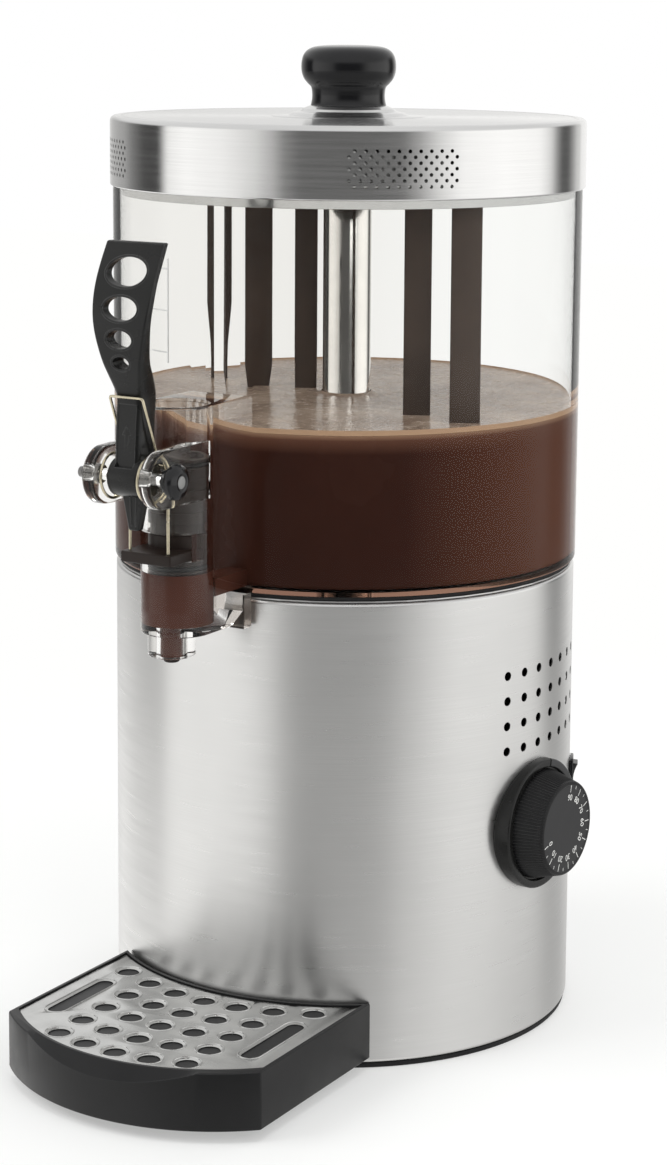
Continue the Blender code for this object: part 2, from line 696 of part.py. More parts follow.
def build_water_bath(looks):
    rim_low, rim_top = BATH_RIM_BOTTOM, BATH_RIM_TOP
    floor_low = BATH_FLOOR_BOTTOM
    floor_top = floor_low + BATH_SHEET
    chimney_top = CASING_TOP - CHIMNEY_TOP_DROP
    chimney_inner = CHIMNEY_RADIUS - BATH_SHEET
    wall_inner = BATH_WALL_RADIUS - BATH_SHEET
    profile = [
        (BATH_RADIUS, rim_low), (BATH_RADIUS, rim_top), (wall_inner, rim_top),
        (wall_inner, floor_top), (CHIMNEY_RADIUS, floor_top), (CHIMNEY_RADIUS, chimney_top),
        (chimney_inner, chimney_top), (chimney_inner, floor_low),
        (BATH_WALL_RADIUS, floor_low), (BATH_WALL_RADIUS, rim_low),
    ]
    place("water_bath", turned(profile, LARGE_STEPS), looks["steel"])

    half = HEATER_OPEN_ANGLE / 2
    height = floor_low - GAP - HEATER_TUBE
    run = arc((0, 0), HEATER_CIRCLE, half - QUARTER_TURN, FULL_TURN - half - QUARTER_TURN, MEDIUM_STEPS)
    points = [(x, y, height) for x, y in run]
    first, last = points[0], points[-1]
    tail = height - HEATER_TAIL
    points = [(first[0], first[1], tail)] + points + [(last[0], last[1], tail)]
    tube("heater_ring", points, HEATER_TUBE, looks["heater"])

    spot_x = CUTOUT_DISTANCE * math.cos(CUTOUT_ANGLE)
    spot_y = CUTOUT_DISTANCE * math.sin(CUTOUT_ANGLE)
    top = floor_low - GAP
    low = top - CUTOUT_HEIGHT
    neck = CUTOUT_RADIUS / 2
    profile = [
        (0, low), (neck, low), (neck, (low + top) / 2), (CUTOUT_RADIUS, (low + top) / 2),
        (CUTOUT_RADIUS, top), (0, top),
    ]
    cutout = place("overheat_cutout", turned(profile, SMALL_STEPS), looks["ceramic"])
    cutout.location = (spot_x, spot_y, 0)


def build_drive(looks):
    half_length, half_width = BRACKET_LENGTH / 2, BRACKET_WIDTH / 2
    low, top = PLATE_TOP + GAP, PLATFORM_TOP
    foot = half_length + BRACKET_FOOT
    inner = half_length - BRACKET_SHEET
    outline = [
        (-foot, low), (-inner, low), (-inner, top - BRACKET_SHEET), (inner, top - BRACKET_SHEET),
        (inner, low), (foot, low), (foot, low + BRACKET_SHEET), (half_length, low + BRACKET_SHEET),
        (half_length, top), (-half_length, top), (-half_length, low + BRACKET_SHEET),
        (-foot, low + BRACKET_SHEET),
    ]
    bracket = place("motor_bracket", prism(outline, -half_width, half_width, "XZ"), looks["zinc"], None, False)
    cut(bracket, rod(MOTOR_RADIUS + FLOAT_GAP, top - OVERRUN, top + OVERRUN, MEDIUM_STEPS))

    a, b, c = GEARBOX_LENGTH / 2, GEARBOX_WIDTH / 2, GEARBOX_CORNER
    outline = [
        (a - c, -b), (a, c - b), (a, b - c), (a - c, b), (c - a, b), (-a, b - c), (-a, c - b), (c - a, -b),
    ]
    gearbox = place("gearbox", prism(outline, GEARBOX_BOTTOM, GEARBOX_TOP), looks["cast"], None, False)
    join(gearbox, rod(GEARBOX_BOSS_RADIUS, GEARBOX_TOP - JOIN, GEARBOX_BOSS_TOP, SMALL_STEPS))
    shaft_low = GEARBOX_TOP - GEARBOX_HEIGHT / 2
    cut(gearbox, rod(OUTPUT_SHAFT_RADIUS + GAP, shaft_low - GAP, GEARBOX_BOSS_TOP + OVERRUN, SMALL_STEPS))

    motor_top = GEARBOX_BOTTOM - GAP
    motor_low = motor_top - MOTOR_LENGTH
    profile = [
        (0, motor_low - MOTOR_BUSH_LENGTH), (MOTOR_SHAFT_BUSH, motor_low - MOTOR_BUSH_LENGTH),
        (MOTOR_SHAFT_BUSH, motor_low), (MOTOR_RADIUS, motor_low), (MOTOR_RADIUS, motor_top), (0, motor_top),
    ]
    place("drive_motor", turned(profile, MEDIUM_STEPS), looks["zinc"])

    shaft_top = GEARBOX_BOSS_TOP + OUTPUT_SHAFT_LENGTH
    place("gear_output_shaft", disc(OUTPUT_SHAFT_RADIUS, shaft_low, shaft_top, SMALL_STEPS), looks["bright"])
    coupler_low = GEARBOX_BOSS_TOP + GAP
    coupler_top = coupler_low + COUPLER_LENGTH
    bore = OUTPUT_SHAFT_RADIUS + GAP
    place("shaft_coupler", ring(bore, COUPLER_RADIUS, coupler_low, coupler_top, SMALL_STEPS), looks["cast"])
    shaft = place("drive_shaft", disc(DRIVE_SHAFT_RADIUS, shaft_top + GAP, BUSH_TOP, SMALL_STEPS), looks["bright"])
    half = DRIVE_SQUARE / 2
    join(shaft, box((-half, -half, BUSH_TOP - JOIN), (half, half, BUSH_TOP + DRIVE_SQUARE_LENGTH)))


def bulb_height():
    return BATH_FLOOR_BOTTOM - GAP - BULB_RADIUS


def build_thermostat(looks, dial_axis):
    inner = CASING_RADIUS - CASING_SHEET
    front = drop(facet_middle(inner), THERMOSTAT_RADIUS) - GAP
    back = front - THERMOSTAT_LENGTH
    bush_end = CASING_RADIUS + BEZEL_FLOOR
    bore = DIAL_SHAFT_RADIUS + GAP
    shaft_start = front - THERMOSTAT_LENGTH / 2
    profile = [
        (0, back), (THERMOSTAT_RADIUS, back), (THERMOSTAT_RADIUS, front), (THERMOSTAT_BUSH_RADIUS, front),
        (THERMOSTAT_BUSH_RADIUS, bush_end), (bore, bush_end), (bore, shaft_start - GAP), (0, shaft_start - GAP),
    ]
    place("thermostat_body", turned(profile, MEDIUM_STEPS), looks["ceramic"], dial_axis)
    shaft_end = shaft_start + DIAL_SHAFT_LENGTH
    place("dial_shaft", disc(DIAL_SHAFT_RADIUS, shaft_start, shaft_end, TINY_STEPS), looks["brass"], dial_axis)

    floor = CASING_RADIUS + GAP
    skirt = drop(CASING_RADIUS, BEZEL_RADIUS) - OVERRUN
    lip_inner = BEZEL_RADIUS - BEZEL_LIP
    lip_top = floor + BEZEL_LIP_HEIGHT
    floor_top = floor + BEZEL_FLOOR
    profile = [
        (BEZEL_RADIUS, skirt), (BEZEL_RADIUS, lip_top), (lip_inner, lip_top), (lip_inner, floor_top),
        (BEZEL_HOLE, floor_top), (BEZEL_HOLE, skirt),
    ]
    bezel = place("dial_bezel", turned(profile, MEDIUM_STEPS), looks["black"], dial_axis)
    cut(bezel, rod(CASING_RADIUS + GAP, CASING_BOTTOM, CASING_TOP, LARGE_STEPS))
    notch = Matrix.Rotation(-BEZEL_NOTCH_ANGLE, 4, "Z")
    half = BEZEL_NOTCH_WIDTH / 2
    mark = box((-half, lip_inner - OVERRUN, lip_top - BEZEL_NOTCH_DEPTH), (half, BEZEL_RADIUS + OVERRUN, lip_top + OVERRUN))
    bmesh.ops.transform(mark, matrix=notch, verts=mark.verts)
    cut(bezel, mark, dial_axis)

    base = floor_top + GAP
    face = base + KNOB_LENGTH
    bore_top = base + KNOB_BORE_DEPTH
    knob_bore = DIAL_SHAFT_RADIUS + GAP
    rows = [
        (KNOB_BASE_RADIUS, base), (KNOB_FACE_RADIUS, face - KNOB_EDGE), (KNOB_FACE_RADIUS - KNOB_EDGE, face),
    ]
    rings = []
    for level, (radius, z) in enumerate(rows):
        points = []
        for i in range(2 * KNOB_RIBS):
            turn = math.pi * i / KNOB_RIBS
            grown = radius - (KNOB_RIB_DEPTH if i % 2 and level < len(rows) - 1 else 0)
            points.append((grown * math.cos(turn), grown * math.sin(turn), z))
        rings.append(points)
    knob = place("dial_knob", loft(rings), looks["black"], dial_axis, False)
    cut(knob, rod(knob_bore, base - OVERRUN, max(bore_top, shaft_end + GAP), TINY_STEPS), dial_axis)

    inner_end = CHIMNEY_RADIUS + BULB_RADIUS
    outer_end = inner_end + BULB_LENGTH
    along = DIAL_AXIS.to_track_quat("Z", "Y").to_matrix().to_4x4()
    lift = Matrix.Translation((0, 0, bulb_height()))
    place("thermostat_bulb", rod(BULB_RADIUS, inner_end, outer_end, TINY_STEPS, lift @ along), looks["copper"])
    stub = outer_end + GAP
    start, end = stub + 2 * CAPILLARY_RADIUS, back - GAP
    bend = BULB_RADIUS + CAPILLARY_RADIUS
    guides = [
        (start, bulb_height()), (start + bend, bulb_height()),
        (start, DIAL_HEIGHT), (end, DIAL_HEIGHT),
    ]
    points = [(DIAL_AXIS.x * stub, DIAL_AXIS.y * stub, bulb_height())]
    for i in range(SMALL_STEPS + 1):
        t = i / SMALL_STEPS
        weights = ((1 - t) ** 3, 3 * t * (1 - t) ** 2, 3 * t * t * (1 - t), t ** 3)
        out = sum(weight * guide[0] for weight, guide in zip(weights, guides))
        z = sum(weight * guide[1] for weight, guide in zip(weights, guides))
        points.append((DIAL_AXIS.x * out, DIAL_AXIS.y * out, z))
    tube("capillary_tube", points, CAPILLARY_RADIUS, looks["copper"])


def switch_body_half():
    return (
        SWITCH_FLANGE_WIDTH / 2 - SWITCH_BODY_INSET,
        SWITCH_FLANGE_HEIGHT / 2 - SWITCH_BODY_INSET,
    )


def build_switch(looks, switch_axis):
    half_width, half_height = SWITCH_FLANGE_WIDTH / 2, SWITCH_FLANGE_HEIGHT / 2
    flange_low = CASING_RADIUS + GAP
    flange_top = flange_low + SWITCH_FLANGE_THICKNESS
    body_width, body_height = switch_body_half()
    body_low = flange_low - SWITCH_BODY_DEPTH
    housing = place("switch_housing", box(
        (-half_width, -half_height, flange_low), (half_width, half_height, flange_top),
    ), looks["black"], switch_axis, False)
    join(housing, box(
        (-body_width, -body_height, body_low), (body_width, body_height, flange_low + JOIN),
    ), switch_axis)
    pocket_width = ROCKER_WIDTH / 2 + FLOAT_GAP
    pocket_height = ROCKER_HALF_HEIGHT + ROCKER_POCKET_MARGIN
    cut(housing, box(
        (-pocket_width, -pocket_height, flange_top - ROCKER_POCKET_DEPTH),
        (pocket_width, pocket_height, flange_top + OVERRUN),
    ), switch_axis)

    pivot = axis_empty("rocker_axis", switch_axis.matrix_world @ Matrix.Translation((0, 0, flange_low)))
    h = ROCKER_HALF_HEIGHT
    outline = [
        (-h, 0), (-h, ROCKER_RISE), (0, ROCKER_RISE - ROCKER_DIP), (h, ROCKER_RISE), (h, 0),
        (0, -ROCKER_KEEL),
    ]
    half = ROCKER_WIDTH / 2
    tilted = prism(outline, -half, half, "YZ")
    bmesh.ops.rotate(tilted, verts=tilted.verts, cent=(0, 0, 0), matrix=Matrix.Rotation(ROCKER_TILT, 3, "X"))
    place("switch_rocker", tilted, looks["black"], pivot, False)


def build_inlet(looks, gland_axis):
    floor = CASING_RADIUS + GAP
    inner = CASING_RADIUS - CASING_SHEET
    nut_front = drop(facet_middle(inner), GLAND_NUT_RADIUS) - GAP
    neck_end = nut_front - GLAND_NUT_THICKNESS - GLAND_NECK_PROUD
    end = floor + GLAND_LENGTH
    profile = [
        (GLAND_BORE, neck_end), (GLAND_NECK, neck_end), (GLAND_NECK, floor), (GLAND_RADIUS, floor),
        (GLAND_RADIUS, floor + GLAND_LENGTH / 2), (GLAND_NECK, end), (GLAND_BORE, end),
    ]
    place("cable_gland", turned(profile, SMALL_STEPS), looks["black"], gland_axis)
    thread = GLAND_NECK + GAP
    nut_back = nut_front - GLAND_NUT_THICKNESS
    hexagon = rod(GLAND_NUT_RADIUS, nut_back, nut_front, NUT_SIDES)
    nut = place("gland_nut", hexagon, looks["black"], gland_axis, False)
    cut(nut, rod(thread, nut_back - OVERRUN, nut_front + OVERRUN, SMALL_STEPS), gland_axis)

    low = PLATE_TOP + GAP
    half_length, half_width = TERMINAL_LENGTH / 2, TERMINAL_WIDTH / 2
    block = place("terminal_block", box(
        (-half_length, TERMINAL_DISTANCE - half_width, low),
        (half_length, TERMINAL_DISTANCE + half_width, low + TERMINAL_HEIGHT),
    ), looks["ceramic"], None, False)
    pitch = TERMINAL_LENGTH / TERMINAL_POLES
    hole = pitch * TERMINAL_HOLE_SHARE
    centres = [pitch * (i + 0.5) - half_length for i in range(TERMINAL_POLES)]
    spots = [(x, TERMINAL_DISTANCE) for x in centres]
    floor = low + TERMINAL_HEIGHT / 2
    cut(block, upright_rods(hole, floor, low + TERMINAL_HEIGHT + OVERRUN, spots, TINY_STEPS))


def spigot_radius():
    return BATH_WALL_RADIUS - BATH_SHEET - FLOAT_GAP


def nose_outline(half_width, rear):
    """Seen from above: straight sides from the rear, and a round front."""
    front = arc((0, -NOSE_CENTRE), half_width, -math.pi, 0, SMALL_STEPS)
    return [(half_width, -rear), (-half_width, -rear)] + front


def ear_outline():
    front = arc((-PIVOT_DISTANCE, PIVOT_HEIGHT), EAR_RADIUS, 3 * QUARTER_TURN, QUARTER_TURN, MEDIUM_STEPS // 2)
    return [(-EAR_ROOT, PIVOT_HEIGHT + EAR_RADIUS), (-EAR_ROOT, PIVOT_HEIGHT - EAR_RADIUS)] + front


def across(radius, low, high, y, z, steps):
    """A cylinder along X through the given spot."""
    frame = Matrix.Translation((0, y, z)) @ Matrix.Rotation(QUARTER_TURN, 4, "Y")
    return rod(radius, low, high, steps, frame)


def build_tank(looks):
    spigot_outer = spigot_radius()
    spigot_inner = spigot_outer - SPIGOT_WALL
    spigot_bottom = TANK_BOTTOM - SPIGOT_DEPTH
    hole = COLUMN_RADIUS + FLOAT_GAP
    profile = [
        (hole, TANK_BOTTOM), (spigot_inner, TANK_BOTTOM), (spigot_inner, spigot_bottom),
        (spigot_outer, spigot_bottom), (spigot_outer, TANK_BOTTOM), (TANK_BOTTOM_RADIUS, TANK_BOTTOM),
        (TANK_TOP_RADIUS, TANK_TOP), (TANK_TOP_RADIUS - TANK_WALL, TANK_TOP),
        (TANK_BOTTOM_RADIUS - TANK_WALL, TANK_FLOOR_TOP), (hole, TANK_FLOOR_TOP),
    ]
    tank = place("tank", turned(profile, LARGE_STEPS), looks["clear"])

    chin_rear = CASING_RADIUS + LUG_CLEARANCE
    body_rear = TANK_BOTTOM_RADIUS - NOSE_ROOT_SINK
    body = prism(nose_outline(NOSE_HALF_WIDTH, body_rear), TANK_BOTTOM, NOSE_TOP)
    join(tank, body)
    chin_top = TANK_BOTTOM + JOIN
    chin = helper("chin_tool", prism(nose_outline(NOSE_HALF_WIDTH, chin_rear), CHIN_BOTTOM, chin_top))
    slope = [
        (-chin_rear - CHIN_SLOPE_RUN, CHIN_BOTTOM), (-chin_rear, CHIN_BOTTOM + CHIN_SLOPE_RISE),
        (-chin_rear + OVERRUN, CHIN_BOTTOM + CHIN_SLOPE_RISE), (-chin_rear + OVERRUN, CHIN_BOTTOM - OVERRUN),
        (-chin_rear - CHIN_SLOPE_RUN, CHIN_BOTTOM - OVERRUN),
    ]
    side = NOSE_HALF_WIDTH + OVERRUN
    cut(chin, prism(slope, -side, side, "YZ"))
    step = tank.modifiers.new("chin", "BOOLEAN")
    step.operation = "UNION"
    step.solver = "EXACT"
    step.object = chin
    join(tank, box(
        (-LUG_HALF_WIDTH, -chin_rear - LUG_THICKNESS, TANK_BOTTOM - LUG_DROP),
        (LUG_HALF_WIDTH, -chin_rear, chin_top),
    ))
    for side in (-1, 1):
        faces = sorted((side * EAR_INNER, side * (EAR_INNER + EAR_THICKNESS)))
        join(tank, prism(ear_outline(), faces[0], faces[1], "YZ"))
    join(tank, disc(NOZZLE_RADIUS, NOZZLE_BOTTOM, CHIN_BOTTOM + JOIN, MEDIUM_STEPS, -NOZZLE_CENTRE))

    cut(tank, disc(BORE_RADIUS, BORE_BOTTOM, NOSE_TOP + OVERRUN, MEDIUM_STEPS, -NOSE_CENTRE))
    cut(tank, box(
        (-CHANNEL_HALF_WIDTH, -NOSE_CENTRE, TANK_FLOOR_TOP),
        (CHANNEL_HALF_WIDTH, OVERRUN + TANK_WALL - TANK_BOTTOM_RADIUS, CHANNEL_TOP),
    ))
    window = FOOT_HALF_WIDTH + WINDOW_CLEARANCE
    window_low = FOOT_BOTTOM - WINDOW_CLEARANCE
    cut(tank, box(
        (-window, -NOSE_CENTRE - NOSE_HALF_WIDTH - OVERRUN, window_low),
        (window, -NOSE_CENTRE, window_low + WINDOW_HEIGHT),
    ))
    low, high = NOZZLE_BOTTOM - OVERRUN, BORE_BOTTOM + OVERRUN
    cut(tank, disc(NOZZLE_BORE, low, high, SMALL_STEPS, -NOZZLE_CENTRE))
    ends = EAR_INNER + EAR_THICKNESS + OVERRUN
    cut(tank, across(PIN_RADIUS + GAP, -ends, ends, -PIVOT_DISTANCE, PIVOT_HEIGHT, SMALL_STEPS))


def build_tank_fittings(looks):
    gasket_low = BATH_RIM_TOP + GAP
    place("tank_gasket", ring(
        BATH_RADIUS - SEAT_GASKET_WIDTH, BATH_RADIUS, gasket_low, gasket_low + SEAT_GASKET_THICKNESS,
        LARGE_STEPS,
    ), looks["rubber"])

    seal_low = TANK_FLOOR_TOP + GAP
    seal_top = seal_low + COLUMN_SEAL
    snug = COLUMN_RADIUS + GAP
    seal = ring(snug, COLUMN_FLANGE_RADIUS, seal_low, seal_top, MEDIUM_STEPS)
    place("column_seal", seal, looks["rubber"])
    flange_low = seal_top + GAP
    flange_top = flange_low + COLUMN_FLANGE
    nut_top = TANK_BOTTOM - GAP
    tail = nut_top - COLUMN_TAIL
    inner = COLUMN_RADIUS - COLUMN_WALL
    profile = [
        (inner, tail), (COLUMN_RADIUS, tail), (COLUMN_RADIUS, flange_low),
        (COLUMN_FLANGE_RADIUS, flange_low), (COLUMN_FLANGE_RADIUS, flange_top),
        (COLUMN_RADIUS, flange_top), (COLUMN_RADIUS, COLUMN_TOP), (inner, COLUMN_TOP),
    ]
    place("column_tube", turned(profile, MEDIUM_STEPS), looks["bright"])
    place("column_nut", ring(snug, COLUMN_NUT_RADIUS, tail, nut_top, MEDIUM_STEPS), looks["zinc"])
    bush_bore = DRIVE_SHAFT_RADIUS + GAP
    lip_low = COLUMN_TOP + GAP
    profile = [
        (bush_bore, lip_low - COLUMN_BUSH_LENGTH), (inner - GAP, lip_low - COLUMN_BUSH_LENGTH),
        (inner - GAP, lip_low), (COLUMN_RADIUS, lip_low), (COLUMN_RADIUS, BUSH_TOP), (bush_bore, BUSH_TOP),
    ]
    place("column_bush", turned(profile, MEDIUM_STEPS), looks["white"])


def build_pivot(looks, pivot):
    ear_outer = EAR_INNER + EAR_THICKNESS
    cap_low = ear_outer + GAP
    socket_end = cap_low + CAP_SOCKET
    neck_end = cap_low + CAP_NECK_LENGTH
    pin = across(PIN_RADIUS, -PIN_LEFT_END, socket_end - GAP, 0, 0, SMALL_STEPS)
    place("pivot_pin", pin, looks["bright"], pivot)
    cap_end = neck_end + CAP_LENGTH
    socket = PIN_RADIUS + GAP
    profile = [
        (socket, cap_low), (CAP_NECK_RADIUS, cap_low), (CAP_NECK_RADIUS, neck_end), (CAP_RADIUS, neck_end),
        (CAP_RADIUS, cap_end - CAP_EDGE), (CAP_RADIUS - CAP_EDGE, cap_end), (0, cap_end), (0, socket_end),
        (socket, socket_end),
    ]
    cap = turned(profile, SMALL_STEPS)
    bmesh.ops.rotate(cap, verts=cap.verts, cent=(0, 0, 0), matrix=Matrix.Rotation(QUARTER_TURN, 3, "Y"))
    place("pin_cap", cap, looks["black"], pivot)
    clip = ring(socket, CLIP_RADIUS, cap_low, cap_low + CLIP_LENGTH, SMALL_STEPS)
    bmesh.ops.rotate(clip, verts=clip.verts, cent=(0, 0, 0), matrix=Matrix.Rotation(-QUARTER_TURN, 3, "Y"))
    place("pin_clip", clip, looks["bright"], pivot)


def lever_front(rise):
    """Forward place of the lever's front face at a height above the pivot."""
    rows = [(LEVER_RISE * row[0], -LEVER_FORWARD * row[1]) for row in LEVER_ROW_SHARES]
    for (low, start), (high, end) in zip(rows, rows[1:]):
        if rise <= high:
            return start + (end - start) * (rise - low) / (high - low)
    return rows[-1][1]


def rounded_section(half_width, front, depth, height):
    """A level ring with rounded corners, front towards -Y."""
    corner = min(half_width, depth / 2) * LEVER_CORNER_SHARE
    spots = [
        (half_width - corner, front + corner, -QUARTER_TURN), (half_width - corner, front + depth - corner, 0),
        (corner - half_width, front + depth - corner, QUARTER_TURN), (corner - half_width, front + corner, math.pi),
    ]
    points = []
    for x, y, start in spots:
        points += arc((x, y), corner, start, start + QUARTER_TURN, 2)
    return [(x, y, height) for x, y in points]


def build_lever(looks, pivot):
    rings = []
    for rise, forward, width, depth in LEVER_ROW_SHARES:
        rings.append(rounded_section(
            LEVER_HANDLE_WIDTH * width / 2, -LEVER_FORWARD * forward, LEVER_SHANK_DEPTH * depth,
            LEVER_RISE * rise,
        ))
    lever = place("tap_lever", loft(rings), looks["black"], pivot)
    join(lever, across(BOSS_RADIUS, -BOSS_HALF_LENGTH, BOSS_HALF_LENGTH, 0, 0, MEDIUM_STEPS), pivot)
    top, tip = FINGER_TOP_WIDTH / 2, FINGER_TIP_WIDTH / 2
    front, back = FINGER_SETBACK - FINGER_THICKNESS / 2, FINGER_SETBACK + FINGER_THICKNESS / 2
    start = BOSS_RADIUS * FINGER_START_SHARE
    outline = [(top, -start), (-top, -start), (-tip, -FINGER_DROP), (tip, -FINGER_DROP)]
    join(lever, prism(outline, front, back, "XZ"), pivot)
    arm = HORN_ROOT / 2
    outline = arc((HORN_REACH, 0), HORN_RADIUS, -QUARTER_TURN, QUARTER_TURN, TINY_STEPS // 2)
    outline += [(BOSS_RADIUS * FINGER_START_SHARE, arm), (BOSS_RADIUS * FINGER_START_SHARE, -arm)]
    join(lever, prism(outline, -HORN_HALF_WIDTH, HORN_HALF_WIDTH, "YZ"), pivot)
    bore = PIN_RADIUS + GAP
    reach = BOSS_HALF_LENGTH + OVERRUN
    cut(lever, across(bore, -reach, reach, 0, 0, SMALL_STEPS), pivot)
    for rise, half_width, half_height in LEVER_HOLE_SHARES:
        flat = Matrix.Rotation(QUARTER_TURN, 4, "X")
        oval = Matrix.Diagonal((LEVER_HANDLE_WIDTH * half_width, LEVER_SHANK_DEPTH + OVERRUN,
                                LEVER_HANDLE_WIDTH * half_height, 1.0))
        place_at = Matrix.Translation((0, 0, LEVER_RISE * rise))
        cut(lever, rod(1.0, -1.0, 1.0, SMALL_STEPS, place_at @ oval @ flat), pivot)


def spring_points():
    """One wire: left coil, side run, bar across the shank's front, side run, right coil."""
    shank = lever_front(SPRING_BAR_RISE)
    bar_y = shank - SPRING_BAR_CLEARANCE - WIRE_RADIUS
    first_x = BOSS_HALF_LENGTH + GAP + WIRE_RADIUS
    distance = math.hypot(bar_y, SPRING_BAR_RISE)
    tangent = math.atan2(SPRING_BAR_RISE, bar_y) - math.acos(SPRING_COIL_RADIUS / distance)
    coil = []
    steps = round(SPRING_TURNS * SPRING_TURN_POINTS)
    for i in range(steps + 1):
        turned_share = i / steps
        angle = tangent - FULL_TURN * SPRING_TURNS * turned_share
        x = first_x + SPRING_PITCH * SPRING_TURNS * turned_share
        coil.append((x, SPRING_COIL_RADIUS * math.cos(angle), SPRING_COIL_RADIUS * math.sin(angle)))
    heading = Vector((0, math.sin(angle), -math.cos(angle)))
    end = Vector(coil[-1]) + heading * 2 * WIRE_RADIUS
    start = Vector(coil[0])
    corner = Vector((first_x, bar_y, SPRING_BAR_RISE))
    run = [corner.lerp(start, i / SPRING_RUN_STEPS) for i in range(1, SPRING_RUN_STEPS)]
    right = [tuple(corner)] + [tuple(point) for point in run] + coil + [tuple(end)]
    left = [(-x, y, z) for x, y, z in reversed(right)]
    return left + right


def least_self_gap(points, radius, turn_length):
    """Least clear distance between stretches of wire that are not next to each other."""
    fine = []
    for a, b in zip(points, points[1:]):
        count = max(1, math.ceil((Vector(b) - Vector(a)).length / radius))
        fine += [Vector(a).lerp(Vector(b), i / count) for i in range(count)]
    lengths = [0.0]
    for a, b in zip(fine, fine[1:]):
        lengths.append(lengths[-1] + (b - a).length)
    least = turn_length
    for i, a in enumerate(fine):
        for j in range(i + 1, len(fine)):
            if lengths[j] - lengths[i] > turn_length / 2:
                least = min(least, (fine[j] - a).length - 2 * radius)
    return least


def build_springs(looks, pivot):
    points = spring_points()
    turn_length = FULL_TURN * SPRING_COIL_RADIUS
    gap = least_self_gap(points, WIRE_RADIUS, turn_length)
    print(f"return spring, least gap to itself: {gap * MILLIMETRES:.2f} mm")
    tube("return_spring", points, WIRE_RADIUS, looks["brass"], pivot)

    legs_y = HORN_REACH
    bottom = FOOT_TOP + GAP - PIVOT_HEIGHT
    top = HORN_RADIUS + GAP + STIRRUP_WIRE
    half, bend = STIRRUP_HALF_WIDTH, STIRRUP_BEND
    right = arc((half - bend, top - bend), bend, 0, QUARTER_TURN, 3)
    left = arc((bend - half, top - bend), bend, QUARTER_TURN, math.pi, 3)
    outline = [(half, bottom)] + right + left + [(-half, bottom)]
    tube("lift_stirrup", [(x, legs_y, z) for x, z in outline], STIRRUP_WIRE, looks["brass"], pivot)


def build_valve(looks):
    top = PISTON_BOTTOM + PISTON_LENGTH
    inner = PISTON_RADIUS - PISTON_RIB_DEPTH
    grooves = [PISTON_BOTTOM + SEAL_EDGE, top - SEAL_EDGE - SEAL_HEIGHT - 2 * GAP]
    groove = PISTON_RADIUS - SEAL_GROOVE_DEPTH
    groove_height = SEAL_HEIGHT + 2 * GAP
    profile = [(0, PISTON_BOTTOM), (PISTON_RADIUS, PISTON_BOTTOM)]
    profile += [
        (PISTON_RADIUS, grooves[0]), (groove, grooves[0]), (groove, grooves[0] + groove_height),
        (PISTON_RADIUS, grooves[0] + groove_height),
    ]
    rib_start = FOOT_TOP + JOIN
    pitch = (grooves[1] - rib_start) / (2 * PISTON_RIBS + 1)
    for i in range(PISTON_RIBS):
        low = rib_start + pitch * (2 * i + 1)
        profile += [(PISTON_RADIUS, low), (inner, low), (inner, low + pitch), (PISTON_RADIUS, low + pitch)]
    profile += [
        (PISTON_RADIUS, grooves[1]), (groove, grooves[1]), (groove, grooves[1] + groove_height),
        (PISTON_RADIUS, grooves[1] + groove_height), (PISTON_RADIUS, top), (0, top),
    ]
    piston = place("valve_piston", turned(profile, MEDIUM_STEPS, -NOSE_CENTRE), looks["brown"])
    join(piston, box(
        (-FOOT_HALF_WIDTH, -NOSE_CENTRE - FOOT_REACH, FOOT_BOTTOM), (FOOT_HALF_WIDTH, -NOSE_CENTRE, FOOT_TOP),
    ))
    for name, low in zip(("piston_seal_lower", "piston_seal_upper"), grooves):
        seal = ring(groove + GAP, BORE_RADIUS - GAP, low + GAP, low + GAP + SEAL_HEIGHT, MEDIUM_STEPS, -NOSE_CENTRE)
        place(name, seal, looks["rubber"])

    head_low = BORE_BOTTOM + GAP
    head_top = head_low + PLUG_HEAD_HEIGHT
    tip = NOZZLE_BOTTOM - PLUG_TIP_PROUD
    profile = [
        (0, tip), (PLUG_TIP_RADIUS, tip), (PLUG_TIP_RADIUS, head_low), (PLUG_HEAD_RADIUS, head_low),
        (PLUG_HEAD_RADIUS, head_top), (PLUG_STEM_RADIUS, head_top + PLUG_HEAD_HEIGHT),
        (PLUG_STEM_RADIUS, PISTON_BOTTOM - GAP), (0, PISTON_BOTTOM - GAP),
    ]
    place("valve_plug", turned(profile, SMALL_STEPS, -NOZZLE_CENTRE), looks["brown"])


def blade_spot(index):
    reach, angle = BLADE_SHARES[index][:2]
    return Vector((AGITATOR_REACH * reach * math.cos(angle), AGITATOR_REACH * reach * math.sin(angle), 0))


def strip(start, end, half_width, low, high):
    """An upright bar seen from above as a strip from start to end."""
    along = (end - start).normalized()
    side = Vector((-along.y, along.x, 0)) * half_width
    corners = [start - side, end - side, end + side, start + side]
    return prism([(point.x, point.y) for point in corners], low, high)


def blade_rings(index, low, high):
    _, _, top_share, low_share, wide_share = BLADE_SHARES[index]
    spot = blade_spot(index)
    across_blade = Vector((math.cos(BLADE_YAW), math.sin(BLADE_YAW), 0))
    through = Vector((-across_blade.y, across_blade.x, 0)) * BLADE_THICKNESS / 2
    wide, narrow = BLADE_HALF_WIDTH * top_share, BLADE_HALF_WIDTH * low_share
    height = high - low
    blend = height * BLADE_BLEND_SHARE
    levels = [
        (low, narrow), (high - height * wide_share - blend, narrow), (high - height * wide_share, wide),
        (high, wide),
    ]
    rings = []
    for z, half in levels:
        side = across_blade * half
        corners = [-side - through, side - through, side + through, through - side]
        rings.append([(spot.x + c.x, spot.y + c.y, z) for c in corners])
    return rings


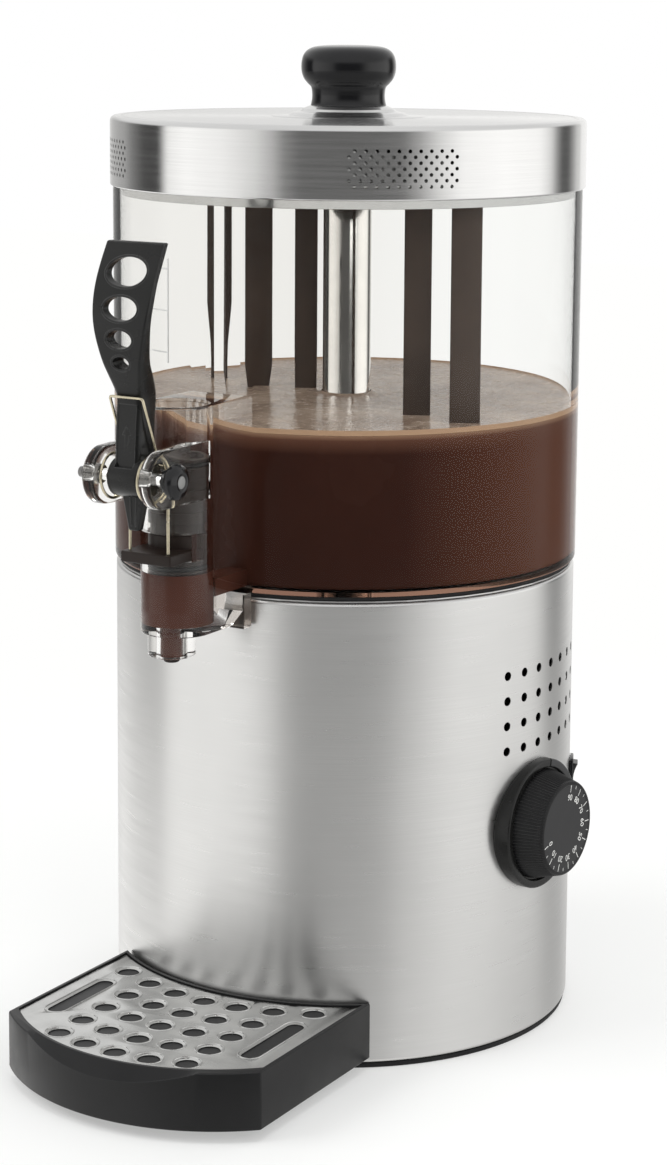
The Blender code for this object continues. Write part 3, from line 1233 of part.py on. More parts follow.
def build_agitator(looks):
    agitator = place("agitator", disc(HUB_RADIUS, HUB_BOTTOM, HUB_TOP, MEDIUM_STEPS), looks["brown"])
    low = HUB_BOTTOM + ARM_ABOVE_HUB_FOOT
    high = low + ARM_HEIGHT
    blade_low = TANK_FLOOR_TOP + BLADE_FLOOR_CLEARANCE
    for blades in ARM_BLADES:
        first = blade_spot(blades[0])
        start = first.normalized() * HUB_RADIUS * ARM_START_SHARE
        for index in blades:
            end = blade_spot(index)
            past = (end - start).normalized() * BLADE_THICKNESS / 2
            join(agitator, strip(start, end + past, ARM_HALF_WIDTH, low, high))
            start = end
    for index in range(len(BLADE_SHARES)):
        join(agitator, loft(blade_rings(index, blade_low, high - JOIN)))
    half = DRIVE_SQUARE / 2 + GAP
    bore_top = BUSH_TOP + DRIVE_SQUARE_LENGTH + GAP
    cut(agitator, box((-half, -half, HUB_BOTTOM - OVERRUN), (half, half, bore_top)))

    cap_low = HUB_TOP + GAP
    cap_top = cap_low + HUB_CAP_HEIGHT
    edge = HUB_CAP_HEIGHT / 3
    profile = [
        (0, cap_low), (HUB_RADIUS, cap_low), (HUB_RADIUS, cap_top - edge), (HUB_RADIUS - edge, cap_top), (0, cap_top),
    ]
    place("agitator_cap", turned(profile, MEDIUM_STEPS), looks["brown"])


def build_lid(looks):
    inner = LID_RADIUS - LID_SHEET
    hem = inner - LID_HEM_THICKNESS
    boss_top = LID_TOP + BOSS_HEIGHT
    hole = GRIP_SCREW_RADIUS + GAP
    outer_edge = arc((LID_RADIUS - LID_EDGE, LID_TOP - LID_EDGE), LID_EDGE, 0, QUARTER_TURN, LID_EDGE_STEPS)
    inner_radius = LID_EDGE - LID_SHEET
    inner_edge = arc((LID_RADIUS - LID_EDGE, LID_TOP - LID_EDGE), inner_radius, QUARTER_TURN, 0, LID_EDGE_STEPS)
    profile = [(hem, LID_BOTTOM), (LID_RADIUS, LID_BOTTOM)] + outer_edge
    profile += [(BOSS_FOOT_RADIUS, LID_TOP), (BOSS_TOP_RADIUS, boss_top), (hole, boss_top)]
    profile += [(hole, boss_top - LID_SHEET), (BOSS_TOP_RADIUS, boss_top - LID_SHEET)]
    profile += [(BOSS_FOOT_RADIUS, LID_TOP - LID_SHEET)] + inner_edge
    profile += [(inner, LID_BOTTOM + LID_HEM), (hem, LID_BOTTOM + LID_HEM)]
    place("lid_shell", turned(profile, LARGE_STEPS), looks["steel"])

    seat = TANK_TOP + GAP
    outer = inner - GAP
    lip_outer = TANK_TOP_RADIUS - TANK_WALL - GAP
    lip_inner = lip_outer - LID_RING_LIP_WALL
    profile = [
        (lip_inner, seat - LID_RING_LIP), (lip_outer, seat - LID_RING_LIP), (lip_outer, seat), (outer, seat),
        (outer, seat + LID_RING_THICKNESS), (lip_inner, seat + LID_RING_THICKNESS),
    ]
    place("lid_ring", turned(profile, LARGE_STEPS), looks["white"])

    profile = [(GRIP_RADIUS * r, GRIP_BOTTOM + GRIP_HEIGHT * h) for r, h in GRIP_SHARES]
    profile = [(hole, GRIP_BOTTOM)] + profile + [(0, GRIP_BOTTOM + GRIP_HEIGHT)]
    bore_top = GRIP_BOTTOM + GRIP_SCREW_DEPTH + GAP
    profile += [(0, bore_top), (hole, bore_top)]
    place("lid_grip", turned(profile, MEDIUM_STEPS), looks["black"])
    washer_top = boss_top - LID_SHEET - GAP
    washer_low = washer_top - WASHER_THICKNESS
    place("grip_washer", ring(hole, WASHER_RADIUS, washer_low, washer_top, SMALL_STEPS), looks["zinc"])
    head_top = washer_low - GAP
    head_low = head_top - GRIP_SCREW_HEAD_HEIGHT
    profile = [
        (0, head_low), (GRIP_SCREW_HEAD, head_low), (GRIP_SCREW_HEAD, head_top), (GRIP_SCREW_RADIUS, head_top),
        (GRIP_SCREW_RADIUS, bore_top - GAP), (0, bore_top - GAP),
    ]
    place("grip_screw", turned(profile, SMALL_STEPS), looks["zinc"])


def tray_front():
    """Centre and radius of the arc through the two front corners and the foremost point."""
    rise = TRAY_APEX - TRAY_CORNER
    radius = (TRAY_HALF_WIDTH * TRAY_HALF_WIDTH + rise * rise) / (2 * rise)
    return -TRAY_APEX + radius, radius


def tray_outline(inset, front_inset):
    centre_y, front_radius = tray_front()
    half = TRAY_HALF_WIDTH - inset
    rear_radius = CASING_RADIUS + TRAY_CASING_GAP + inset
    rear_turn = math.asin(half / rear_radius)
    front_turn = math.asin(half / (front_radius - front_inset))
    rear = arc((0, 0), rear_radius, rear_turn - QUARTER_TURN, -rear_turn - QUARTER_TURN, TRAY_ARC_STEPS)
    front = arc(
        (0, centre_y), front_radius - front_inset, -front_turn - QUARTER_TURN, front_turn - QUARTER_TURN,
        TRAY_ARC_STEPS,
    )
    return rear + front


def scoop_rings():
    """Sections across the front rim, deepest in the middle, that slice off a crescent."""
    centre_y, front_radius = tray_front()
    rings = []
    for i in range(TRAY_ARC_STEPS + 1):
        share = 2 * i / TRAY_ARC_STEPS - 1
        x = SCOOP_HALF_WIDTH * share
        depth = SCOOP_DEPTH * (1 - share * share)
        inner = centre_y - drop(front_radius - TRAY_FRONT_WALL + TRAY_RIM_LAND, x)
        outer = centre_y - drop(front_radius, x)
        fall = (depth + JOIN) / (inner - outer)
        low = TRAY_TOP - depth - fall * OVERRUN
        far = outer - OVERRUN
        roof = TRAY_TOP + OVERRUN
        rings.append([(x, inner, TRAY_TOP + JOIN), (x, far, low), (x, far, roof), (x, inner, roof)])
    return rings


def slot_outline(x):
    near = arc((x, -GRILLE_SLOT_NEAR), GRILLE_SLOT_HALF_WIDTH, 0, math.pi, TINY_STEPS // 2)
    far = arc((x, -GRILLE_SLOT_FAR), GRILLE_SLOT_HALF_WIDTH, math.pi, FULL_TURN, TINY_STEPS // 2)
    return near + far


def grille_spots():
    spots = []
    for row in range(GRILLE_ROWS):
        side = GRILLE_SIDE_HOLES + (1 if row == 0 else 0)
        for column in range(-side, side + 1):
            x = GRILLE_COLUMN_PITCH * column
            y = x * x / (2 * GRILLE_ROW_BEND) - GRILLE_FIRST_ROW - GRILLE_ROW_PITCH * row
            spots.append((x, y))
    return spots


def build_tray(looks):
    tray = place("drip_tray", prism(tray_outline(0, 0), TRAY_BOTTOM, TRAY_TOP), looks["tray"], None, False)
    low, high = tongue_heights()
    rear = CASING_RADIUS - TONGUE_REACH
    root = CASING_RADIUS + TRAY_CASING_GAP + TRAY_WALL
    join(tray, box((-TONGUE_HALF_WIDTH, -root, low), (TONGUE_HALF_WIDTH, -rear, high)))
    ledge = TRAY_TOP - TRAY_LEDGE_DROP
    cut(tray, prism(tray_outline(TRAY_WALL, TRAY_FRONT_WALL), ledge, TRAY_TOP + OVERRUN))
    floor = TRAY_BOTTOM + TRAY_FLOOR
    pocket = tray_outline(TRAY_WALL + TRAY_LEDGE, TRAY_FRONT_WALL + TRAY_LEDGE)
    cut(tray, prism(pocket, floor, TRAY_TOP))
    cut(tray, loft(scoop_rings()))

    clear = GRILLE_CLEARANCE
    outline = tray_outline(TRAY_WALL + clear, TRAY_FRONT_WALL + clear)
    top = GRILLE_BOTTOM + GRILLE_SHEET
    grille = place("drip_grille", prism(outline, GRILLE_BOTTOM, top), looks["bright"], None, False)
    low, high = GRILLE_BOTTOM - OVERRUN, top + OVERRUN
    cut(grille, upright_rods(GRILLE_HOLE, low, high, grille_spots(), TINY_STEPS))
    for side in (-1, 1):
        cut(grille, prism(slot_outline(side * GRILLE_SLOT_OFFSET), low, high))


def make_looks():
    return {
        "steel": finish("brushed_steel", (0.62, 0.60, 0.57), 0.32, 1),
        "bright": finish("bright_steel", (0.74, 0.73, 0.71), 0.16, 1),
        "zinc": finish("zinc_steel", (0.52, 0.52, 0.53), 0.45, 1),
        "cast": finish("cast_metal", (0.35, 0.35, 0.36), 0.55, 1),
        "brass": finish("brass_wire", (0.62, 0.47, 0.20), 0.30, 1),
        "copper": finish("copper_tube", (0.70, 0.38, 0.25), 0.30, 1),
        "heater": finish("heater_sheath", (0.22, 0.21, 0.21), 0.50, 1),
        "clear": finish("clear_plastic", (0.95, 0.96, 0.96), 0.05, 0, 1),
        "rubber": finish("black_rubber", (0.03, 0.03, 0.03), 0.80),
        "black": finish("black_plastic", (0.02, 0.02, 0.02), 0.30),
        "tray": finish("matte_black_plastic", (0.045, 0.045, 0.048), 0.55),
        "white": finish("white_plastic", (0.85, 0.84, 0.80), 0.45),
        "brown": finish("brown_plastic", (0.10, 0.06, 0.05), 0.40),
        "ceramic": finish("pale_ceramic", (0.72, 0.70, 0.64), 0.60),
    }


def build():
    clear_scene()
    looks = make_looks()
    dial_axis = axis_empty("dial_axis", radial_frame(DIAL_ANGLE, DIAL_HEIGHT))
    switch_axis = axis_empty("switch_axis", radial_frame(SWITCH_ANGLE, SWITCH_HEIGHT))
    gland_axis = axis_empty("gland_axis", radial_frame(math.pi, GLAND_HEIGHT))
    pivot = axis_empty("lever_axis", Matrix.Translation((0, -PIVOT_DISTANCE, PIVOT_HEIGHT)))
    build_base(looks)
    build_casing(looks, dial_axis, switch_axis, gland_axis)
    build_water_bath(looks)
    build_drive(looks)
    build_thermostat(looks, dial_axis)
    build_switch(looks, switch_axis)
    build_inlet(looks, gland_axis)
    build_tank(looks)
    build_tank_fittings(looks)
    build_pivot(looks, pivot)
    build_lever(looks, pivot)
    build_springs(looks, pivot)
    build_valve(looks)
    build_agitator(looks)
    build_lid(looks)
    build_tray(looks)


build()
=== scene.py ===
import bmesh
import bpy
import math
from mathutils import Matrix, Vector


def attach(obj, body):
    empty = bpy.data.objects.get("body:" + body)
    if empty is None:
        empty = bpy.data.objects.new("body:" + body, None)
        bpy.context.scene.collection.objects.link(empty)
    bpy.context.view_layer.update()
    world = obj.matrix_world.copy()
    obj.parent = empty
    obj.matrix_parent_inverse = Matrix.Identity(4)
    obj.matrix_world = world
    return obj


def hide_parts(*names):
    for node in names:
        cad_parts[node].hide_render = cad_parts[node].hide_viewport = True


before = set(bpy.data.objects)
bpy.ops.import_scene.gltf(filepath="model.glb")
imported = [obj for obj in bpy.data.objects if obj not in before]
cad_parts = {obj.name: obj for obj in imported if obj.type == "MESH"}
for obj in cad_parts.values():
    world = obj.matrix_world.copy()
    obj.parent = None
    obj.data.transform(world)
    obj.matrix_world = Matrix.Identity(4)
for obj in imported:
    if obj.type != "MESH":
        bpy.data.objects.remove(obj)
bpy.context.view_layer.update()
fullTurn = 2 * math.pi
up = Vector((0, 0, 1))


# selecting and editing, as by hand
def nothingPicked():
    if bpy.context.object and bpy.context.object.mode != "OBJECT":
        bpy.ops.object.mode_set(mode="OBJECT")
    bpy.ops.object.select_all(action="DESELECT")


def pick(*pieces):
    nothingPicked()
    for piece in pieces:
        piece.select_set(True)
    bpy.context.view_layer.objects.active = pieces[0]
    return pieces[0]


def openShape(piece, mode="FACE"):
    pick(piece)
    bpy.ops.object.mode_set(mode="EDIT")
    bpy.ops.mesh.select_mode(type=mode)


def closeShape():
    bpy.ops.object.mode_set(mode="OBJECT")


def pickEdges(piece, test):  # edges by their two ends and the angle between their faces
    mesh = bmesh.from_edit_mesh(piece.data)
    bpy.ops.mesh.select_all(action="DESELECT")
    for edge in mesh.edges:
        bend = edge.calc_face_angle(0) if len(edge.link_faces) == 2 else 0
        edge.select_set(bool(test(edge.verts[0].co, edge.verts[1].co, bend)))
    bmesh.update_edit_mesh(piece.data)
    return sum(edge.select for edge in mesh.edges)


def softenEdges(piece, width, segments, test=None, angle=30):
    openShape(piece, "EDGE")
    limit = math.radians(angle)
    if pickEdges(piece, lambda a, b, bend: bend > limit and (test is None or test(a, b))):
        bpy.ops.mesh.bevel(offset=width, segments=segments, affect="EDGES", clamp_overlap=True)
    closeShape()


def tidy(piece):  # doubles merged, then the faces turned outwards
    openShape(piece)
    bpy.ops.mesh.select_all(action="SELECT")
    bpy.ops.mesh.remove_doubles(threshold=0.000002)
    bpy.ops.mesh.normals_make_consistent(inside=False)
    closeShape()


def settle(piece, matrix=None):  # the place goes into the mesh
    if matrix is not None:
        piece.matrix_world = matrix
    pick(piece)
    bpy.ops.object.transform_apply(location=True, rotation=True, scale=True)
    return piece


def smooth(piece, degrees=32):
    pick(piece)
    bpy.ops.object.shade_smooth_by_angle(angle=math.radians(degrees))
    return piece


def applyModifier(piece, kind, **settings):
    step = piece.modifiers.new(kind.lower(), kind)
    for key, value in settings.items():
        setattr(step, key, value)
    pick(piece)
    bpy.ops.object.modifier_apply(modifier=step.name)


def glue(*pieces):
    pick(*pieces)
    bpy.ops.object.join()
    return pieces[0]


def carve(piece, *tools, operation="DIFFERENCE"):
    tool = glue(*tools) if len(tools) > 1 else tools[0]
    applyModifier(piece, "BOOLEAN", object=tool, operation=operation, solver="EXACT")
    bpy.data.objects.remove(tool, do_unlink=True)
    return piece


def named(piece, name):
    piece.name = name
    piece.data.name = name
    return piece


def copyOf(piece, name, matrix):
    twin = piece.copy()
    twin.data = piece.data.copy()
    bpy.context.scene.collection.objects.link(twin)
    named(twin, name)
    return settle(twin, matrix)


# shapes
def rounded(corners, steps=4):  # corners (a, b, radius) of a closed outline, each rounded
    outline = []
    count = len(corners)
    for i, (a, b, radius) in enumerate(corners):
        here = Vector((a, b))
        if radius <= 0:
            outline.append((a, b))
            continue
        before = (Vector(corners[i - 1][:2]) - here).normalized()
        after = (Vector(corners[(i + 1) % count][:2]) - here).normalized()
        half = before.angle(after) / 2
        if abs(half - math.pi / 2) < 0.01:
            outline.append((a, b))
            continue
        reach = radius / math.tan(half)
        centre = here + (before + after).normalized() * (radius / math.sin(half))
        start = here + before * reach - centre
        sweep = start.angle_signed(here + after * reach - centre)
        for k in range(steps + 1):
            turn = -sweep * k / steps
            spot = centre + Vector((
                start.x * math.cos(turn) - start.y * math.sin(turn),
                start.x * math.sin(turn) + start.y * math.cos(turn)))
            outline.append((spot.x, spot.y))
    return outline


def pulledLine(points, closed):  # one vertex, pulled from point to point
    nothingPicked()
    bpy.ops.mesh.primitive_plane_add(size=0.01)
    piece = bpy.context.object
    bpy.ops.object.mode_set(mode="EDIT")
    bpy.ops.mesh.select_mode(type="VERT")
    bpy.ops.mesh.merge(type="CENTER")
    bpy.ops.transform.translate(value=points[0])
    path = list(points[1:]) + ([points[0]] if closed else [])
    here = Vector(points[0])
    for point in path:
        step = Vector(point) - here
        bpy.ops.mesh.extrude_region_move(TRANSFORM_OT_translate={"value": step})
        here = Vector(point)
    bpy.ops.mesh.select_all(action="SELECT")
    bpy.ops.mesh.remove_doubles(threshold=0.0000005)
    return piece


def turnedPiece(name, profile, steps, matrix=None, closed=True, degrees=32):
    piece = pulledLine([(radius, 0, z) for radius, z in profile], closed)
    bpy.ops.mesh.select_all(action="SELECT")
    bpy.ops.mesh.spin(steps=steps, angle=fullTurn, center=(0, 0, 0), axis=(0, 0, 1))
    bpy.ops.mesh.select_all(action="SELECT")
    bpy.ops.mesh.remove_doubles(threshold=0.000002)
    bpy.ops.mesh.normals_make_consistent(inside=False)
    closeShape()
    settle(named(piece, name), matrix)
    return smooth(piece, degrees)


def slab(name, outline, low, high, axis="Z", matrix=None):  # an outline filled and pulled up
    spots = {"Z": lambda a, b: (a, b, low), "X": lambda a, b: (low, a, b), "Y": lambda a,
        b: (a, low, b)}[axis]
    rise = {"Z": (0, 0, high - low), "X": (high - low, 0, 0), "Y": (0, high - low, 0)}[axis]
    piece = pulledLine([spots(a, b) for a, b in outline], True)
    bpy.ops.mesh.edge_face_add()
    bpy.ops.mesh.extrude_region_move(TRANSFORM_OT_translate={"value": rise})
    bpy.ops.mesh.select_all(action="SELECT")
    bpy.ops.mesh.normals_make_consistent(inside=False)
    closeShape()
    return settle(named(piece, name), matrix)


def skinned(name, rings):  # sections of equal count, joined in turn and closed at both ends
    count = len(rings[0])
    points = [tuple(p) for ring in rings for p in ring]
    faces = [(r * count + i, r * count + (i + 1) % count, (r + 1) * count + (i + 1) % count,
        (r + 1) * count + i)
             for r in range(len(rings) - 1) for i in range(count)]
    faces += [tuple(reversed(range(count))), tuple(range((len(rings) - 1) * count, len(rings) * count))]
    mesh = bpy.data.meshes.new(name)
    mesh.from_pydata(points, [], faces)
    piece = bpy.data.objects.new(name, mesh)
    bpy.context.scene.collection.objects.link(piece)
    tidy(piece)
    return piece


def peg(name, radius, low, high, steps, matrix=None):  # a plain round bar along local Z
    nothingPicked()
    bpy.ops.mesh.primitive_cylinder_add(
        vertices=steps, radius=radius, depth=high - low, location=(0, 0, (low + high) / 2))
    piece = named(bpy.context.object, name)
    settle(piece)
    return settle(piece, matrix) if matrix is not None else piece


def block(name, low, high):
    nothingPicked()
    bpy.ops.mesh.primitive_cube_add(size=1, location=[(a + b) / 2 for a, b in zip(low, high)])
    piece = named(bpy.context.object, name)
    piece.scale = [b - a for a, b in zip(low, high)]
    return settle(piece)


def wire(name, points, radius, steps=12, closed=False):  # a round wire through the points
    curve = bpy.data.curves.new(name, "CURVE")
    curve.dimensions = "3D"
    run = curve.splines.new("POLY")
    run.points.add(len(points) - 1)
    for spot, point in zip(run.points, points):
        spot.co = (*point, 1)
    run.use_cyclic_u = closed
    curve.bevel_depth = radius
    curve.bevel_resolution = steps // 4
    curve.use_fill_caps = True
    piece = bpy.data.objects.new(name, curve)
    bpy.context.scene.collection.objects.link(piece)
    pick(piece)
    bpy.ops.object.convert(target="MESH")
    piece = named(bpy.context.object, name)
    tidy(piece)
    return smooth(piece, 40)


def smoothRun(points, per=6):  # a smooth curve through the points
    run = []
    spots = [Vector(p) for p in points]
    for i in range(len(spots) - 1):
        a, b = spots[max(i - 1, 0)], spots[i]
        c, d = spots[i + 1], spots[min(i + 2, len(spots) - 1)]
        for k in range(per):
            t = k / per
            run.append(0.5 * (2 * b + (c - a) * t + (2 * a - 5 * b + 4 * c - d) * t * t
                              + (3 * b - a - 3 * c + d) * t ** 3))
    return run + [spots[-1]]


def radialFrame(degrees, height=0):  # local Z outwards at this angle from the tap, local Y up
    turn = math.radians(degrees)
    outward = Vector((math.sin(turn), -math.cos(turn), 0))
    spin = Matrix((up.cross(outward), up, outward)).transposed().to_4x4()
    return Matrix.Translation((0, 0, height)) @ spin


def arcPoints(centre, radius, start, end, steps):
    return [(centre[0] + radius * math.cos(start + (end - start) * i / steps),
             centre[1] + radius * math.sin(start + (end - start) * i / steps)) for i in range(steps + 1)]


def sideAt(radius, offset):  # how far out a round wall is at a sideways offset
    return math.sqrt(radius * radius - offset * offset)


def finished(piece, looks, body, nodes=()):
    piece.data.materials.clear()
    for look in (looks if isinstance(looks, (list, tuple)) else [looks]):
        piece.data.materials.append(look.material)
    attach(piece, body)
    if nodes:
        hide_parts(*nodes)
    return piece


print("frame loaded, tools ready")


# effects shared by several finishes
def newGroup(name, inputs, outputs):
    group = bpy.data.node_groups.new(name, "ShaderNodeTree")
    for label, value in inputs:
        socket = group.interface.new_socket(label, in_out="INPUT", socket_type="NodeSocketFloat")
        socket.default_value = value
    for label in outputs:
        group.interface.new_socket(label, in_out="OUTPUT", socket_type="NodeSocketFloat")
    return group, group.nodes.new("NodeGroupInput"), group.nodes.new("NodeGroupOutput")


def newNode(tree, kind, inputs=None, **settings):  # a shader node with its settings, values and links
    node = tree.nodes.new("ShaderNode" + kind)
    for key, value in settings.items():
        setattr(node, key, value)
    for label, value in (inputs or {}).items():
        if isinstance(value, bpy.types.NodeSocket):
            tree.links.new(value, node.inputs[label])
        else:
            node.inputs[label].default_value = value
    return node


def mathNode(tree, operation, *values):
    return newNode(tree, "Math", dict(enumerate(values)), operation=operation).outputs[0]


def noiseNode(tree, vector, scale, detail=3, roughness=0.55):
    inputs = {"Vector": vector, "Scale": scale, "Detail": detail, "Roughness": roughness}
    return newNode(tree, "TexNoise", inputs).outputs["Fac"]


def objectPlace(tree):
    return newNode(tree, "TexCoord").outputs["Object"]


def fromAxis(tree, x, y):  # distance from the tank's axis
    return mathNode(tree, "SQRT", mathNode(tree, "ADD", *[mathNode(tree, "MULTIPLY", a, a) for a in (x,
        y)]))


# brushing that runs round the tank axis: long along the turn, very fine up and outwards
turnedGrain, gIn, gOut = newGroup(
    "turnedGrain", (("Fineness", 2400), ("Length", 22), ("Patches", 9)),
    ("Streaks", "Broad streaks", "Patches"))
coordinate = objectPlace(turnedGrain)
xSide, ySide, zSide = newNode(turnedGrain, "SeparateXYZ", {0: coordinate}).outputs
outAndUp = mathNode(turnedGrain, "ADD", zSide, fromAxis(turnedGrain, xSide, ySide))
for share, label in ((1.0, "Streaks"), (0.16, "Broad streaks")):
    fine = mathNode(turnedGrain, "MULTIPLY", outAndUp, gIn.outputs["Fineness"])
    fine = mathNode(turnedGrain, "MULTIPLY", fine, share)
    along = [mathNode(turnedGrain, "MULTIPLY", side, gIn.outputs["Length"]) for side in (xSide, ySide)]
    stretch = newNode(turnedGrain, "CombineXYZ", dict(enumerate((*along, fine))))
    turnedGrain.links.new(noiseNode(turnedGrain, stretch.outputs[0], 1.0, 2), gOut.inputs[label])
turnedGrain.links.new(noiseNode(turnedGrain, coordinate, gIn.outputs["Patches"], 4), gOut.inputs["Patches"])

# the fine skin of moulded plastic, with slow changes of gloss
mouldedSkin, gIn, gOut = newGroup("mouldedSkin", (("Grain", 2200), ("Patches", 28)), ("Grain", "Patches"))
coordinate = objectPlace(mouldedSkin)
for label, detail in (("Grain", 2), ("Patches", 4)):
    mouldedSkin.links.new(noiseNode(mouldedSkin, coordinate, gIn.outputs[label], detail),
        gOut.inputs[label])

# painted edge highlight: lighter by how sharply the surface bends, broken up by noise
edgeHighlight, gIn, gOut = newGroup("edgeHighlight", (("Radius", 0.0012), ("Breakup", 260)), ("Edges",))
bevelled = newNode(edgeHighlight, "Bevel", {"Radius": gIn.outputs["Radius"]}, samples=4)
plainNormal = newNode(edgeHighlight, "NewGeometry").outputs["Normal"]
turnBy = newNode(edgeHighlight, "VectorMath", {0: bevelled.outputs[0], 1: plainNormal}, operation="DOT_PRODUCT")
sharpness = mathNode(edgeHighlight, "SUBTRACT", 1.0, turnBy.outputs["Value"])
broken = noiseNode(edgeHighlight, objectPlace(edgeHighlight), gIn.outputs["Breakup"], 3)
ramped = mathNode(edgeHighlight, "MULTIPLY", mathNode(edgeHighlight, "MULTIPLY", sharpness, 9.0), broken)
edgeHighlight.links.new(mathNode(edgeHighlight, "MINIMUM", ramped, 1.0), gOut.inputs["Edges"])


class Finish:  # one material: its Principled shader and short ways to feed it
    def __init__(self, name, colour, roughness, metallic=0.0, **plain):
        self.material = bpy.data.materials.new(name)
        self.material.use_nodes = True
        self.tree = self.material.node_tree
        self.shader = self.tree.nodes["Principled BSDF"]
        constants = {"Base Color": (*colour, 1), "Roughness": roughness, "Metallic": metallic, **plain}
        for label, value in constants.items():
            self.shader.inputs[label.replace("_", " ")].default_value = value

    def group(self, group, **values):
        return newNode(self.tree, "Group", values, node_tree=group).outputs

    def between(self, mask, low, high, fromLow=0.0, fromHigh=1.0):  # a mask stretched to a range
        inputs = {"Value": mask, "From Min": fromLow, "From Max": fromHigh, "To Min": low, "To Max": high}
        return newNode(self.tree, "MapRange", inputs).outputs["Result"]

    def mix(self, mask, first, second):  # two colours, or sockets, by a mask
        colours = [(*one[:3], 1) if isinstance(one, (tuple, list)) else one for one in (first, second)]
        return newNode(self.tree, "Mix", {0: mask, 6: colours[0], 7: colours[1]},
            data_type="RGBA").outputs[2]

    def bump(self, height, distance, strength=1.0, under=None):
        inputs = {"Height": height, "Distance": distance, "Strength": strength}
        if under is not None:
            inputs["Normal"] = under
        return newNode(self.tree, "Bump", inputs).outputs["Normal"]

    def feed(self, label, socket):
        self.tree.links.new(socket, self.shader.inputs[label])

    def where(self):  # Object coordinates as three sockets
        return newNode(self.tree, "SeparateXYZ", {0: objectPlace(self.tree)}).outputs


def shade(colour, share):
    return tuple(min(1.0, c * share) for c in colour)


def brushedMetal(name, colour, roughness, fineness=2400, length=22, depth=0.000004, streakShare=0.08,
        **plain):
    metal = Finish(name, colour, roughness, 1.0, **plain)
    grain = metal.group(turnedGrain, Fineness=fineness, Length=length)
    streak = metal.mix(metal.between(grain["Streaks"], 0, 1, 0.3, 0.7), shade(colour, 1 - streakShare),
        shade(colour, 1 + streakShare * 0.5))
    worn = metal.mix(metal.between(grain["Patches"], 0, 1, 0.35, 0.7), streak, shade(colour, 0.93))
    metal.feed("Base Color", worn)
    metal.feed("Roughness", metal.between(grain["Broad streaks"], roughness * 0.9, roughness * 1.1, 0.3,
        0.7))
    metal.feed("Normal", metal.bump(grain["Broad streaks"], depth, 0.3))
    return metal


def polishedMetal(name, colour, roughness, patches=40, **plain):
    metal = Finish(name, colour, roughness, 1.0, **plain)
    skin = metal.group(mouldedSkin, Grain=900, Patches=patches)
    metal.feed("Roughness", metal.between(skin["Patches"], roughness * 0.7, roughness * 1.6, 0.35, 0.68))
    metal.feed("Base Color", metal.mix(metal.between(skin["Patches"], 0, 1, 0.3, 0.7), colour,
        shade(colour, 0.9)))
    metal.feed("Normal", metal.bump(skin["Grain"], 0.000004, 0.4))
    return metal


def mouldedPlastic(name, colour, roughness, grain=2200, depth=0.00001, edgeLight=0.0, spread=0.14, **plain):
    plastic = Finish(name, colour, roughness, 0.0, **plain)
    skin = plastic.group(mouldedSkin, Grain=grain)
    patches = plastic.mix(plastic.between(skin["Patches"], 0, 1, 0.3, 0.7), shade(colour, 1 - spread),
        shade(colour, 1 + spread))
    if edgeLight > 0:
        # painted highlight: the edges turn lighter, by edgeLight
        edgeShine = plastic.group(edgeHighlight, Radius=0.0008)
        patches = plastic.mix(plastic.between(edgeShine["Edges"], 0, edgeLight), patches,
            tuple(min(1, c + 0.25) for c in colour))
    plastic.feed("Base Color", patches)
    plastic.feed("Roughness", plastic.between(skin["Patches"], roughness * 0.8, roughness * 1.22, 0.3, 0.7))
    plastic.feed("Normal", plastic.bump(skin["Grain"], depth, 0.6))
    return plastic


def seeThrough(clear):  # shadow and diffuse rays pass, so what is inside stays lit
    tree = clear.tree
    passing = newNode(tree, "BsdfTransparent", {0: (0.93, 0.94, 0.94, 1)})
    path = newNode(tree, "LightPath").outputs
    through = mathNode(tree, "MAXIMUM", path["Is Shadow Ray"], path["Is Diffuse Ray"])
    blend = newNode(tree, "MixShader", {0: through, 1: clear.shader.outputs[0], 2: passing.outputs[0]})
    tree.links.new(blend.outputs[0], tree.nodes["Material Output"].inputs["Surface"])
    return clear


steelColour = (0.67, 0.668, 0.66)
casingSteel = brushedMetal("casingSteel", steelColour, 0.30, streakShare=0.05, Anisotropic=0.7,
    Anisotropic_Rotation=0.25)
lidSteel = brushedMetal("lidSteel", (0.68, 0.678, 0.675), 0.18, fineness=3000, length=16, streakShare=0.06,
    Anisotropic=0.8, Anisotropic_Rotation=0.25)
for metal in (casingSteel, lidSteel):
    roundTangent = newNode(metal.tree, "Tangent", direction_type="RADIAL", axis="Z")
    metal.feed("Tangent", roundTangent.outputs[0])
bathSteel = brushedMetal("bathSteel", (0.58, 0.575, 0.57), 0.3, fineness=1500)
columnSteel = polishedMetal("columnSteel", (0.72, 0.70, 0.67), 0.09)
zincSteel = polishedMetal("zincSteel", (0.5, 0.51, 0.52), 0.34, patches=120)
castMetal = mouldedPlastic("castMetal", (0.34, 0.34, 0.35), 0.46, grain=1400, depth=0.00005, Metallic=0.85)
blackGloss = mouldedPlastic("blackGloss", (0.007, 0.007, 0.008), 0.13, grain=700, depth=0.000006,
    edgeLight=0.15, Specular_IOR_Level=0.36)
blackTray = mouldedPlastic("blackTray", (0.010, 0.010, 0.0105), 0.36, grain=1500, depth=0.00002,
    edgeLight=0.15, Specular_IOR_Level=0.24)
blackMatte = mouldedPlastic("blackMatte", (0.0085, 0.0085, 0.0082), 0.27, grain=1600, depth=0.00002,
    edgeLight=0.2, Specular_IOR_Level=0.26)
blackKnob = mouldedPlastic("blackKnob", (0.008, 0.008, 0.0085), 0.42, grain=2400, depth=0.00003,
    edgeLight=0.2, Specular_IOR_Level=0.2)
dialFace = mouldedPlastic("dialFace", (0.034, 0.034, 0.035), 0.5, grain=2600, depth=0.00003,
    Specular_IOR_Level=0.2)
grilleSteel = polishedMetal("grilleSteel", (0.60, 0.60, 0.59), 0.19, patches=60)
rubberBlack = mouldedPlastic("rubberBlack", (0.009, 0.009, 0.0095), 0.6, grain=3000, depth=0.00004,
    Specular_IOR_Level=0.25)
